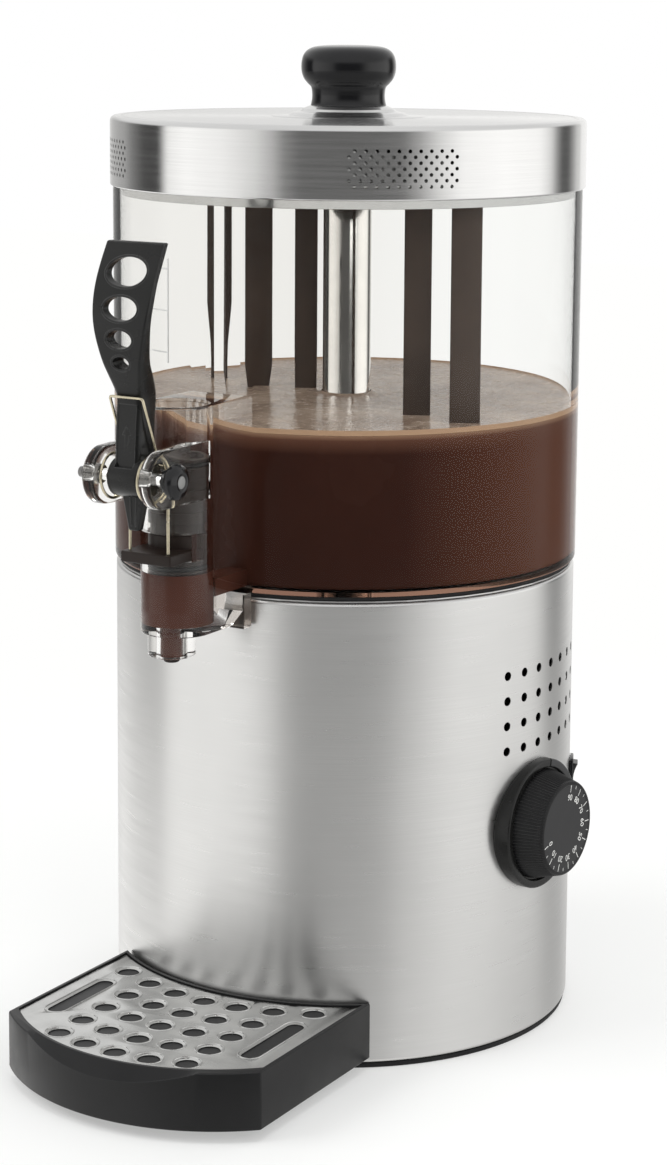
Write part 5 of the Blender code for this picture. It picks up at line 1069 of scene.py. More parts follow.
def buildLevelMarks(m):
    slim = math.degrees(m["half"] / m["outer"])
    marks = [wallStrip("levelMarks", m, m["turn"] - slim, m["turn"] + slim, m["low"], m["high"])]
    for i, z in enumerate(m["ticks"]):
        marks.append(wallStrip(f"levelTick{i}", m, m["turn"] - m["reach"], m["turn"], z - m["half"],
            z + m["half"]))
    marks = glue(*marks)
    smooth(marks, 40)
    return finished(marks, printGrey, "tank_group")


printGrey = mouldedPlastic("printGrey", (0.60, 0.60, 0.585), 0.5)
buildLevelMarks(levelMarks)
print("tank moulded")

# chocolate: the body of it, the froth on top, what stands in the chamber and the nozzle
drink = {
    "level": 0.3720, "froth": 0.0022, "touch": 0.0003, "columnClear": 0.0152, "flangeRadius": 0.0219,
    "flangeTop": 0.2852, "chamberLow": 0.2680, "chamberTop": 0.2972, "plugClear": 0.0095,
    "nozzleRing": (0.0050, 0.0063, 0.2506, 0.2676),
}


def chocolateLook():
    look = Finish("chocolate", (0.055, 0.020, 0.013), 0.3, Specular_IOR_Level=0.04)
    x, y, z = look.where()
    skin = look.group(mouldedSkin, Grain=500, Patches=14)
    # redder and paler towards the right side and the tap, where light comes through
    side = mathNode(look.tree, "ADD", mathNode(look.tree, "MULTIPLY", x, 0.93),
        mathNode(look.tree, "MULTIPLY", y, 0.36))
    glow = look.between(side, 0.0, 1.0, 0.055, 0.135)
    deep = look.mix(glow, (0.026, 0.0085, 0.0055), (0.100, 0.038, 0.022))
    tap = look.between(mathNode(look.tree, "MULTIPLY", y, -1.0), 0.0, 1.0, 0.136, 0.160)
    deep = look.mix(tap, deep, (0.066, 0.024, 0.016))
    # painted light: paler towards the left side as well
    left = look.between(mathNode(look.tree, "MULTIPLY", x, -1.0), 0.0, 1.0, 0.07, 0.13)
    deep = look.mix(left, deep, (0.085, 0.030, 0.018))
    swirl = look.mix(look.between(skin["Patches"], 0, 1, 0.3, 0.7), deep, (0.060, 0.024, 0.016))
    swirled = look.mix(0.18, deep, swirl)
    # lighter and creamier in the last millimetres under the froth
    creamy = look.mix(look.between(z, 0, 1, drink["level"] - 0.0130, drink["level"] - 0.0040), swirled,
        (0.100, 0.044, 0.028))
    creamy = look.mix(look.between(z, 0, 1, drink["level"] - 0.0050, drink["level"] - 0.0010), creamy,
        (0.300, 0.180, 0.115))
    look.feed("Base Color", creamy)
    look.feed("Roughness", look.between(skin["Patches"], 0.18, 0.30, 0.3, 0.7))
    return look


def frothLook():
    look = Finish("froth", (0.33, 0.25, 0.20), 0.16, IOR=1.18)
    place = objectPlace(look.tree)
    broad = noiseNode(look.tree, place, 26, 5, 0.6)
    fine = noiseNode(look.tree, place, 160, 4, 0.65)
    bubbles = newNode(look.tree, "TexVoronoi", {"Scale": 420, "Vector": place})
    tone = look.mix(look.between(broad, 0, 1, 0.36, 0.66), (0.210, 0.138, 0.098), (0.43, 0.325, 0.250))
    tone = look.mix(look.between(fine, 0, 0.45, 0.4, 0.72), tone, (0.60, 0.49, 0.40))
    x, y, _ = look.where()
    rim = look.between(fromAxis(look.tree, x, y), 0, 1, 0.1335, 0.1372)
    tone = look.mix(rim, tone, (0.40, 0.255, 0.160))
    look.feed("Base Color", tone)
    look.feed("Roughness", look.between(fine, 0.10, 0.34, 0.35, 0.7))
    height = mathNode(look.tree, "ADD", mathNode(look.tree, "MULTIPLY", bubbles.outputs["Distance"], 0.25),
        broad)
    look.feed("Normal", look.bump(height, 0.0012, 0.35, look.bump(fine, 0.0004, 0.4)))
    return look


chocolate, froth = chocolateLook(), frothLook()


def buildDrink(d, t):
    wallAt = lambda z: t["lowRadius"] - t["wall"] + (t["topRadius"] - t["lowRadius"]) * (
        z - t["bottom"]) / (t["top"] - t["bottom"]) + d["touch"]
    low, level = t["floor"] - 0.0001, d["level"] - d["froth"]
    profile = rounded([
        (d["flangeRadius"], low, 0), (wallAt(low) - 0.0001, low, 0.0030), (wallAt(level), level, 0),
        (d["columnClear"], level, 0),
        (d["columnClear"], d["flangeTop"], 0), (d["flangeRadius"], d["flangeTop"], 0)], 4)
    body = turnedPiece("chocolate", profile, 160)
    carve(body, block("feed", (-t["channelHalf"] - 0.0001, -0.1700, t["floor"]),
        (t["channelHalf"] + 0.0001, -0.1300, t["channelTop"] + 0.0001)), operation="UNION")
    chamber = turnedPiece("chamberFill", [(d["plugClear"], d["chamberLow"]),
        (t["bore"] + d["touch"], d["chamberLow"] - 0.0001), (t["bore"] + d["touch"], d["chamberTop"]),
        (d["plugClear"], d["chamberTop"])],
                          64, Matrix.Translation((0, -t["noseY"], 0)))
    carve(body, chamber, operation="UNION")
    inner, outer, ringLow, ringTop = d["nozzleRing"]
    spout = turnedPiece("nozzleFill", [(inner, ringLow), (outer, ringLow), (outer, ringTop),
        (inner, ringTop)], 40, Matrix.Translation((0, -t["nozzleY"], 0)))
    tidy(body)
    glue(body, spout)
    smooth(body, 40)
    finished(body, chocolate, "tank_group")
    # froth: a thin skin, higher at the wall and the column, a little uneven between
    edge, top = wallAt(d["level"]), d["level"]
    line = [(d["columnClear"], level + 0.0001), (edge - 0.0001, level + 0.0001), (edge, top + 0.0009),
        (edge - 0.0006, top + 0.0005), (edge - 0.0016, top + 0.0001),
            (edge - 0.0040, top - 0.0002), (0.1100, top - 0.0001), (0.0800, top), (0.0500, top),
            (0.0260, top), (0.0185, top + 0.0003), (0.0165, top + 0.0008), (d["columnClear"], top + 0.0016)]
    foam = turnedPiece("froth", line, 128, degrees=60)
    return finished(foam, froth, "tank_group")


buildDrink(drink, tank)
print("chocolate and froth filled")


# centre column, its seal, and the agitator with five blades
column = {
    "radius": 0.01465, "wall": 0.0010, "low": 0.2737, "top": 0.4940, "flangeRadius": 0.0215,
    "flangeLow": 0.2836, "flangeTop": 0.2848, "sealLow": 0.2818, "sealTop": 0.2833, "sealInner": 0.01495,
    "steps": 128,
}


def buildColumn(c):
    inner = c["radius"] - c["wall"]
    tube = turnedPiece("column", rounded([
        (inner, c["low"], 0), (c["radius"], c["low"], 0.0003), (c["radius"], c["flangeLow"], 0),
        (c["flangeRadius"], c["flangeLow"], 0.0004),
        (c["flangeRadius"], c["flangeTop"], 0.0004), (c["radius"], c["flangeTop"], 0.0005),
        (c["radius"], c["top"], 0.0004), (inner, c["top"], 0.0003)], 3), c["steps"])
    finished(tube, columnSteel, "tank_group", ["column_tube"])
    seal = turnedPiece("columnSeal", rounded([
        (c["sealInner"], c["sealLow"], 0), (c["flangeRadius"], c["sealLow"], 0.0005),
        (c["flangeRadius"], c["sealTop"], 0.0005), (c["sealInner"], c["sealTop"], 0)], 3), 96)
    finished(seal, rubberBlack, "tank_group", ["column_seal"])


buildColumn(column)

agitator = {
    "hubRadius": 0.0190, "hubLow": 0.4958, "hubTop": 0.5208, "capTop": 0.5271, "armLow": 0.4988,
    "armTop": 0.5068, "armHalf": 0.0035, "bladeLow": 0.2865, "thickness": 0.0030, "halfWidth": 0.0087,
    "yaw": 30.0, "reach": 0.1220, "square": 0.0037, "squareTop": 0.5139,
    # share of the reach, angle, width at the top, width below, share of the height that is wide
    "blades": (
        (0.889, 169, 0.90, 0.60, 0.40), (0.492, 186, 0.97, 0.52, 0.55), (0.254, 175, 0.80, 0.76, 0.50),
        (0.721, -32, 0.91, 0.91, 0.50), (1.000, -26, 1.00, 1.00, 0.50)),
    "arms": ((2, 1, 0), (3, 4)),
}


def bladeSpot(a, index):
    share, angle = a["blades"][index][:2]
    return Vector((math.cos(math.radians(angle)), math.sin(math.radians(angle)), 0)) * a["reach"] * share


def bladeShape(a, index):  # an upright blade, wide above and narrower below, with eased edges
    _, _, topShare, lowShare, wideShare = a["blades"][index]
    spot, yaw = bladeSpot(a, index), math.radians(a["yaw"])
    along = Vector((math.cos(yaw), math.sin(yaw), 0))
    through = Vector((-along.y, along.x, 0)) * a["thickness"] / 2
    high = a["armTop"] - 0.0008
    height = high - a["bladeLow"]
    bend = high - height * wideShare
    levels = [(a["bladeLow"], 0.0), (a["bladeLow"] + 0.0015, 0.0), (bend - height * 0.16, 0.0),
        (bend - height * 0.11, 0.12), (bend - height * 0.05, 0.62), (bend, 1.0), (high, 1.0)]
    rings = []
    for z, share in levels:
        half = a["halfWidth"] * (lowShare + (topShare - lowShare) * share)
        side = along * half
        corners = [-side - through, side - through, side + through, through - side]
        rings.append([(spot.x + c.x, spot.y + c.y, z) for c in corners])
    piece = skinned(f"blade{index}", rings)
    softenEdges(piece, 0.0007, 3, angle=50)
    return piece


def barBetween(name, start, end, half, low, high):
    way = (end - start).normalized()
    side = Vector((-way.y, way.x, 0)) * half
    bar = slab(name, [(p.x, p.y) for p in (start - side, end - side, end + side, start + side)], low, high)
    softenEdges(bar, 0.0009, 3)
    return bar


def buildAgitator(a):
    hub = turnedPiece("agitator", rounded([(0, a["hubLow"], 0), (a["hubRadius"], a["hubLow"], 0.0012),
        (a["hubRadius"], a["hubTop"], 0.0006), (0, a["hubTop"], 0)], 4), 96)
    joined = []
    for blades in a["arms"]:
        start = bladeSpot(a, blades[0]).normalized() * a["hubRadius"] * 0.55
        for index in blades:
            end = bladeSpot(a, index)
            joined.append(barBetween(f"arm{index}", start,
                end + (end - start).normalized() * a["thickness"] / 2, a["armHalf"], a["armLow"],
                a["armTop"]))
            start = end
    joined += [bladeShape(a, index) for index in range(5)]
    # the curved web between the outer pair of blades, under their arm
    first, last = bladeSpot(a, 3), bladeSpot(a, 4)
    length = (last - first).length
    web = slab("web", [(0, 0.0), (length, 0.0), (length, -0.0100)] + [
        (length * (1 - t), -0.0012 - 0.0088 * (1 - t) ** 2.4) for t in (0.15, 0.3, 0.45, 0.6, 0.75,
        0.9)] + [(0, -0.0012)], -0.0013, 0.0013, axis="Y")
    way = (last - first).normalized()
    turn = Matrix((way, Vector((-way.y, way.x, 0)), up)).transposed().to_4x4()
    joined.append(settle(web, Matrix.Translation((first.x, first.y, a["armLow"] + 0.0006)) @ turn))
    h = a["square"]
    carve(hub, block("squareHole", (-h, -h, a["hubLow"] - 0.004), (h, h, a["squareTop"])))
    tidy(hub)
    glue(hub, *joined)
    smooth(hub, 30)
    finished(hub, bladeBrown, "mixer", ["agitator"])
    cap = turnedPiece("agitatorCap", rounded([
        (0, a["hubTop"] + 0.0003, 0), (a["hubRadius"], a["hubTop"] + 0.0003, 0.0003),
        (a["hubRadius"], a["capTop"] - 0.0020, 0.0012), (a["hubRadius"] - 0.0020, a["capTop"], 0.0008),
        (0, a["capTop"], 0)], 4), 96)
    finished(cap, bladeBrown, "mixer", ["agitator_cap"])


buildAgitator(agitator)
print("column and agitator made")

# gasket between the water bath and the tank, and the base pad
rings = {
    "gasket": (0.1313, 0.1388, 0.2757, 0.2777), "pad": (0.1388, 0.0, 0.0030), "screwCircle": 0.1330,
    "pocket": 0.0048,
}


def buildRings(r):
    inner, outer, low, high = r["gasket"]
    seal = turnedPiece("tankGasket", rounded([(inner, low, 0.0003), (outer, low, 0.0007),
        (outer, high, 0.0007), (inner, high, 0.0003)], 3), 224)
    finished(seal, rubberBlack, "base", ["tank_gasket"])
    outer, low, high = r["pad"]
    pad = turnedPiece("basePad", rounded([(0, low, 0), (outer, low, 0.0008), (outer, high, 0.0005),
        (0, high, 0)], 3), 224)
    tools = []
    for i in range(4):
        turn = math.radians(45 + 90 * i)
        tools.append(peg(f"pocket{i}", r["pocket"], -0.004, 0.007, 32,
            Matrix.Translation((r["screwCircle"] * math.cos(turn), r["screwCircle"] * math.sin(turn), 0))))
    # shallow grooves pressed in the underside, so that it grips
    for k, radius in enumerate((0.118, 0.098, 0.078, 0.058)):
        tools.append(turnedPiece(f"groove{k}", [(radius, -0.001), (radius + 0.006, -0.001),
            (radius + 0.006, 0.0008), (radius, 0.0008)], 128))
    carve(pad, *tools)
    tidy(pad)
    smooth(pad, 32)
    finished(pad, rubberBlack, "base", ["base_pad"])


buildRings(rings)
print("gasket and base pad made")


# tap lever: shank, open handle with rimmed holes, ribbed finger below the pivot
lever = {
    "pivotY": -0.2277, "pivotZ": 0.3560, "rise": 0.1263, "forward": 0.0119, "width": 0.0375,
    "depth": 0.0175,
    # share of the rise, of the forward reach, of the handle width, of the shank depth
    "rows": (
        (0.040, 0.55, 0.440, 1.00), (0.238, 0.42, 0.440, 0.98), (0.347, 0.32, 0.460, 0.95),
        (0.390, 0.44, 0.520, 0.88), (0.440, 0.64, 0.600, 0.76), (0.500, 0.86, 0.690, 0.60),
        (0.600, 1.00, 0.840, 0.43), (0.680, 0.99, 0.930, 0.33), (0.760, 0.83, 0.985, 0.29),
        (0.840, 0.56, 1.000, 0.28), (0.920, 0.16, 1.000, 0.29), (1.000, -0.29, 0.985, 0.30)),
    "holes": ((0.881, 0.340, 0.205), (0.728, 0.290, 0.170), (0.599, 0.215, 0.132), (0.497, 0.140, 0.092)),
    "boss": 0.0105, "bossHalf": 0.0095, "bore": 0.0033,
    "finger": (0.0160, 0.0065, 0.0084, 0.0297, 0.0011, 0.0061), "horn": (0.0160, 0.0020, 0.0070, 0.0060),
    "panel": (0.0058, 0.0060, 0.0400, 0.0006),
}


def leverRow(v, rise):  # the lever's front, width and depth at a height, on a smooth curve through the rows
    rows = v["rows"]
    share = min(max(rise / v["rise"], rows[0][0]), rows[-1][0])
    for i in range(len(rows) - 1):
        if share <= rows[i + 1][0]:
            break
    before, low, high, after = rows[max(i - 1, 0)], rows[i], rows[i + 1], rows[min(i + 2, len(rows) - 1)]
    t = (share - low[0]) / (high[0] - low[0])
    out = []
    for k in (1, 2, 3):
        a, b, c, d = before[k], low[k], high[k], after[k]
        slope0 = (c - a) / max(high[0] - before[0], 0.01) * (high[0] - low[0])
        slope1 = (d - b) / max(after[0] - low[0], 0.01) * (high[0] - low[0])
        out.append((2 * t ** 3 - 3 * t * t + 1) * b + (t ** 3 - 2 * t * t + t) * slope0
            + (3 * t * t - 2 * t ** 3) * c + (t ** 3 - t * t) * slope1)
    return -v["forward"] * out[0], v["width"] * out[1], v["depth"] * out[2]


def leverSection(v, rise):
    front, width, depth = leverRow(v, rise)
    half = width / 2
    corner = min(half, depth / 2) * 0.42
    points = []
    for x, y, start in ((half - corner, front + corner, -math.pi / 2),
            (half - corner, front + depth - corner, 0),
                        (corner - half, front + depth - corner, math.pi / 2),
                        (corner - half, front + corner, math.pi)):
        points += arcPoints((x, y), corner, start, start + math.pi / 2, 5)
    return [(x, y, rise) for x, y in points]


def buildLever(v):
    pivot = Matrix.Translation((0, v["pivotY"], v["pivotZ"]))
    low, high = v["rise"] * v["rows"][0][0], v["rise"]
    rings = [leverSection(v, low + (high - low) * i / 60) for i in range(61)]
    # the top end is rounded off over the last rings
    for pull, gain in ((0.0004, 0.0), (0.0010, 0.0004)):
        front, _, depth = leverRow(v, high)
        last = leverSection(v, high)
        middle = front + depth / 2
        rings.append([(x * (1 - pull * 24), middle + (y - middle) * (1 - pull * 260), high + gain) for x, y,
            z in last])
    body = skinned("lever", rings)
    joined = [peg("boss", v["boss"], -v["bossHalf"], v["bossHalf"], 72,
        Matrix.Rotation(math.pi / 2, 4, "Y"))]
    softenEdges(joined[0], 0.0008, 3)
    topWide, tipWide, start, drop, front, back = v["finger"]
    finger = slab("finger", [(topWide / 2, -start), (-topWide / 2, -start), (-tipWide / 2, -drop),
        (tipWide / 2, -drop)], front, back, axis="Y")
    softenEdges(finger, 0.0010, 3)
    reach, hornRadius, root, hornHalf = v["horn"]
    horn = slab("horn", arcPoints((reach, 0), hornRadius, -math.pi / 2, math.pi / 2,
        12) + [(v["boss"] * 0.8, root / 2), (v["boss"] * 0.8, -root / 2)], -hornHalf, hornHalf, axis="X")
    softenEdges(horn, 0.0006, 2)
    for piece in joined + [finger, horn]:
        carve(body, piece, operation="UNION")
    carve(body, acrossPeg("leverBore", v["bore"], -0.0135, 0.0135, 0, 0, 36))
    flat = Matrix.Rotation(math.pi / 2, 4, "X")
    rims = []
    for rise, halfWide, halfHigh in v["holes"]:
        wide, tall, z = v["width"] * halfWide, v["width"] * halfHigh, v["rise"] * rise
        hole = peg("hole", 1.0, -1.0, 1.0, 56, Matrix.Translation((0, 0, z)) @ Matrix.Diagonal((wide,
            0.0215, tall, 1)) @ flat)
        carve(body, hole)
        # each hole has a slim raised rim on both faces of the handle
        for face in (0, 1):
            line = []
            for k in range(56):
                turn = fullTurn * k / 56
                x, dz = (wide + 0.0007) * math.cos(turn), (tall + 0.0007) * math.sin(turn)
                front, _, depth = leverRow(v, z + dz)
                line.append((x, front + (0.0001 if face == 0 else depth - 0.0001), z + dz))
            rims.append(wire("rim", line, 0.00055, 8, True))
    # a shallow panel down the front of the shank, with a plain raised arrow in it
    half, panelLow, panelHigh, depth = v["panel"]
    rings = []
    for i in range(13):
        z = panelLow + (panelHigh - panelLow) * i / 12
        front = leverRow(v, z)[0]
        rings.append([(-half, front - 0.002, z), (half, front - 0.002, z), (half, front + depth, z),
            (-half, front + depth, z)])
    carve(body, skinned("panelTool", rings))
    tidy(body)
    smooth(body, 38)
    front = leverRow(v, 0.0240)[0] + depth + 0.0002
    arrow = slab("arrow", [(-0.0010, 0.0130), (0.0010, 0.0130), (0.0010, 0.0235), (0.0028, 0.0235),
        (0, 0.0285), (-0.0028, 0.0235), (-0.0010, 0.0235)],
                 front - 0.0005, front + 0.0006, axis="Y")
    softenEdges(arrow, 0.0002, 2)
    # two slim ribs down the finger
    fingerFront = v["finger"][4]
    ribs = [slab(f"rib{side}", [(side * 0.0019 - 0.0004, -0.0115), (side * 0.0019 + 0.0004, -0.0115),
        (side * 0.0014 + 0.0004, -0.0270), (side * 0.0014 - 0.0004, -0.0270)],
                 fingerFront - 0.0004, fingerFront + 0.0006, axis="Y") for side in (-1, 1)]
    glue(body, arrow, *ribs, *rims)
    settle(body, pivot)
    smooth(body, 38)
    return finished(body, blackMatte, "lever", ["tap_lever"])


buildLever(lever)
print("lever moulded")

# return spring and the stirrup that lifts the piston
springs = {
    "wire": 0.0008, "coil": 0.0122, "turns": 1.25, "pitch": 0.0022, "firstX": 0.0106, "barRise": 0.0440,
    "barGap": 0.0006, "stirrupWire": 0.0009, "stirrupHalf": 0.0125, "stirrupY": 0.0160,
    "stirrupBend": 0.0030, "stirrupTop": 0.0032, "stirrupLow": -0.0438,
}


def buildSprings(s, v):
    pivot = Matrix.Translation((0, v["pivotY"], v["pivotZ"]))
    shank = -v["forward"] * (0.32 + (s["barRise"] / v["rise"] - 0.347) / (0.390 - 0.347) * 0.12)
    barY = shank - s["barGap"] - s["wire"]
    distance = math.hypot(barY, s["barRise"])
    tangent = math.atan2(s["barRise"], barY) - math.acos(s["coil"] / distance)
    coil = []
    steps = 60
    for i in range(steps + 1):
        angle = tangent - fullTurn * s["turns"] * i / steps
        coil.append(Vector((s["firstX"] + s["pitch"] * s["turns"] * i / steps, s["coil"] * math.cos(angle),
            s["coil"] * math.sin(angle))))
    end = coil[-1] + Vector((0, math.sin(angle), -math.cos(angle))) * 2 * s["wire"]
    corner = Vector((s["firstX"], barY, s["barRise"]))
    eased = [corner + Vector((-0.0016, 0, 0)), corner + Vector((-0.0006, 0, -0.0002)),
        corner.lerp(coil[0], 0.03)]
    right = eased + [corner.lerp(coil[0], k / 6) for k in range(1, 6)] + coil + [end]
    left = [Vector((-p.x, p.y, p.z)) for p in reversed(right)]
    spring = wire("returnSpring", left + right, s["wire"], 16)
    settle(spring, pivot)
    finished(spring, brassWire, "lever", ["return_spring"])
    half, bend, top = s["stirrupHalf"], s["stirrupBend"], s["stirrupTop"]
    outline = [(half, s["stirrupLow"])] + arcPoints((half - bend, top - bend), bend, 0, math.pi / 2, 8)
    outline += arcPoints((bend - half, top - bend), bend, math.pi / 2, math.pi,
        8) + [(-half, s["stirrupLow"])]
    stirrup = wire("liftStirrup", [(x, s["stirrupY"], z) for x, z in outline], s["stirrupWire"], 16)
    settle(stirrup, pivot)
    finished(stirrup, brassWire, "valve", ["lift_stirrup"])


# pivot pin, its cap on the right and the clip on the left
pivotParts = {
    "pin": 0.0030, "pinEnds": (-0.0340, 0.0292),
    "cap": ((0.0033, 0.0225), (0.0066, 0.0225), (0.0066, 0.0267), (0.0100, 0.0267), (0.0100, 0.0329)),
    "socketEnd": 0.0295, "clip": (0.0033, 0.0052, 0.0225, 0.0305),
}


# pale grey for the painted highlight on the pin cap
capHighlightGrey = mouldedPlastic("capHighlightGrey", (0.24, 0.24, 0.235), 0.22, grain=900, Specular_IOR_Level=0.5)
darkSteel = polishedMetal("darkSteel", (0.20, 0.195, 0.19), 0.25, patches=200)


def buildPivot(p, v):
    turn = Matrix.Translation((0, v["pivotY"], v["pivotZ"])) @ Matrix.Rotation(math.pi / 2, 4, "Y")
    low, high = p["pinEnds"]
    pin = turnedPiece("pivotPin", rounded([(0, low, 0), (p["pin"], low, 0.0006), (p["pin"], high, 0.0003),
        (0, high, 0)], 3), 48, turn)
    finished(pin, darkSteel, "tank_group", ["pivot_pin"])
    (bore, capLow), (neck, _), (_, neckEnd), (head, _), (_, capEnd) = p["cap"]
    cap = turnedPiece("pinCap", rounded([
        (bore, capLow, 0), (neck, capLow, 0.0004), (neck, neckEnd - 0.0012, 0.0003),
        (neck - 0.0008, neckEnd - 0.0008, 0.0002), (neck - 0.0008, neckEnd, 0), (head, neckEnd, 0.0012),
        (head, capEnd - 0.0022, 0.0030), (head - 0.0044, capEnd - 0.0002, 0.0012),
        (head - 0.0060, capEnd - 0.0004, 0.0004), (head - 0.0064, capEnd - 0.0008, 0),
        (0, capEnd - 0.0008, 0), (0, p["socketEnd"], 0), (bore, p["socketEnd"], 0)], 4), 72, turn)
    finished(cap, blackGloss, "tank_group", ["pin_cap"])
    # a pale grey domed disc in the middle of the cap: a painted highlight
    dot = turnedPiece("capSpot", rounded([(0, capEnd - 0.0012, 0), (0.0035, capEnd - 0.0012, 0),
        (0.0035, capEnd - 0.0006, 0.0003), (0.0024, capEnd - 0.0001, 0.0006), (0, capEnd, 0)], 4), 36, turn)
    finished(dot, capHighlightGrey, "tank_group")
    back = Matrix.Translation((0, v["pivotY"], v["pivotZ"])) @ Matrix.Rotation(-math.pi / 2, 4, "Y")
    bore, outer, low, high = p["clip"]
    clip = turnedPiece("pinClip", rounded([(bore, low, 0), (outer, low, 0.0005),
        (outer, low + 0.0026, 0.0003), (outer - 0.0010, low + 0.0030, 0), (outer - 0.0010, low + 0.0042, 0),
                                           (outer, low + 0.0046, 0.0003), (outer, high, 0.0012),
                                           (bore, high, 0.0003)], 3), 48, back)
    finished(clip, darkSteel, "tank_group", ["pin_clip"])


# piston with its ribs, seals and foot bar, and the plug below
valve = {
    "y": -0.1840, "radius": 0.0163, "low": 0.2977, "top": 0.3617, "ribDepth": 0.0011, "groove": 0.0145,
    "grooveHigh": 0.0028, "edge": 0.0016, "sealHigh": 0.0022, "ribs": 3, "footHalf": 0.0165,
    "footLow": 0.3057, "footTop": 0.3119, "footReach": 0.0315, "sealOuter": 0.0165, "plugY": -0.1900,
    "stem": 0.0042, "head": 0.0088, "headLow": 0.2681, "headHigh": 0.0030, "tip": 0.0046,
    "tipLow": 0.2465,
}


def buildValve(v):
    place = Matrix.Translation((0, v["y"], 0))
    r, low, top = v["radius"], v["low"], v["top"]
    grooves = [low + v["edge"], top - v["edge"] - v["grooveHigh"]]
    corners = [(0, low, 0), (r, low, 0.0005), (r, grooves[0], 0.0002), (v["groove"], grooves[0], 0),
        (v["groove"], grooves[0] + v["grooveHigh"], 0), (r, grooves[0] + v["grooveHigh"], 0.0002)]
    start = v["footTop"] + 0.0008
    pitch = (grooves[1] - start) / (2 * v["ribs"] + 1)
    for i in range(v["ribs"]):
        z = start + pitch * (2 * i + 1)
        corners += [(r, z, 0.0003), (r - v["ribDepth"], z, 0.0003), (r - v["ribDepth"], z + pitch, 0.0003),
            (r, z + pitch, 0.0003)]
    corners += [(r, grooves[1], 0.0002), (v["groove"], grooves[1], 0),
        (v["groove"], grooves[1] + v["grooveHigh"], 0), (r, grooves[1] + v["grooveHigh"], 0.0002),
                (r, top, 0.0008), (0.0120, top, 0.0004), (0.0112, top - 0.0030, 0.0006),
                (0, top - 0.0030, 0)]
    piston = turnedPiece("piston", rounded(corners, 3), 80, place)
    foot = block("foot", (-v["footHalf"], v["y"] - v["footReach"], v["footLow"]),
        (v["footHalf"], v["y"], v["footTop"]))
    softenEdges(foot, 0.0009, 3)
    carve(piston, foot, operation="UNION")
    tidy(piston)
    smooth(piston, 34)
    finished(piston, valveBrown, "valve", ["valve_piston"])
    for name, node, z in (("sealLower", "piston_seal_lower", grooves[0]),
            ("sealUpper", "piston_seal_upper", grooves[1])):
        z += 0.0003
        seal = turnedPiece(name, rounded([(v["groove"] + 0.0003, z, 0.0003), (v["sealOuter"], z, 0.0009),
            (v["sealOuter"], z + v["sealHigh"], 0.0009), (v["groove"] + 0.0003, z + v["sealHigh"], 0.0003)],
            4), 80, place)
        finished(seal, rubberBlack, "valve", [node])
    headTop = v["headLow"] + v["headHigh"]
    plug = turnedPiece("valvePlug", rounded([
        (0, v["tipLow"], 0), (v["tip"], v["tipLow"], 0.0012), (v["tip"], v["headLow"], 0.0004),
        (v["head"], v["headLow"], 0.0006), (v["head"], headTop, 0.0006),
        (v["stem"], headTop + v["headHigh"], 0.001), (v["stem"], v["low"] - 0.0003, 0),
        (0, v["low"] - 0.0003, 0)], 4), 56, Matrix.Translation((0, v["plugY"], 0)))
    finished(plug, valveBrown, "valve", ["valve_plug"])


buildSprings(springs, lever)
buildPivot(pivotParts, lever)
buildValve(valve)
print("springs, pivot and valve made")


# thermostat dial: bezel, ribbed knob with its scale
dial = {
    "angle": 85.0, "height": 0.1300, "casing": 0.1400, "bezel": 0.0385, "bezelFloor": 0.1425,
    "lip": 0.0048, "lipTop": 0.1451, "hole": 0.0062, "notch": (12.0, 0.0012, 0.0012), "knobLow": 0.1428,
    "knobHigh": 0.1613, "knobBase": 0.0325, "knobFace": 0.0280, "ribs": 96, "ribDepth": 0.00035,
    "bore": 0.0033, "boreTop": 0.1548, "scaleFrom": 254.6, "scaleStep": -27.05,
    "tick": (0.0212, 0.0262, 0.00050), "halfTick": (0.0236, 0.0262, 0.00035), "numberAt": 0.0180,
    "numberSize": 0.0052,
}


def buildBezel(d, matrix):
    outer, lip, top, floor = d["bezel"], d["bezel"] - d["lip"], d["lipTop"], d["bezelFloor"]
    skirt = sideAt(d["casing"], outer) - 0.004
    bezel = turnedPiece("dialBezel", rounded([(outer, skirt, 0), (outer, top, 0.0012), (lip, top, 0.0008),
        (lip, floor, 0.0004), (d["hole"], floor, 0), (d["hole"], skirt, 0)], 4), 128, matrix)
    carve(bezel, peg("casingSpace", d["casing"] + 0.0003, 0.003, 0.274, 256))
    angle, width, depth = d["notch"]
    mark = block("notch", (-width / 2, lip - 0.004, top - depth), (width / 2, outer + 0.004, top + 0.004))
    settle(mark, matrix @ Matrix.Rotation(math.radians(-angle), 4, "Z"))
    carve(bezel, mark)
    tidy(bezel)
    smooth(bezel, 34)
    finished(bezel, [blackMatte, bezelGrey], "base", ["dial_bezel"])
    inverse = matrix.inverted()
    for face in bezel.data.polygons:  # the paler sector of the lip, right of the notch
        spot = inverse @ face.center
        turn = math.degrees(math.atan2(spot.x, spot.y))
        if spot.z > top - 0.0016 and math.hypot(spot.x, spot.y) > lip - 0.0002 and 14 < turn < 62:
            face.material_index = 1


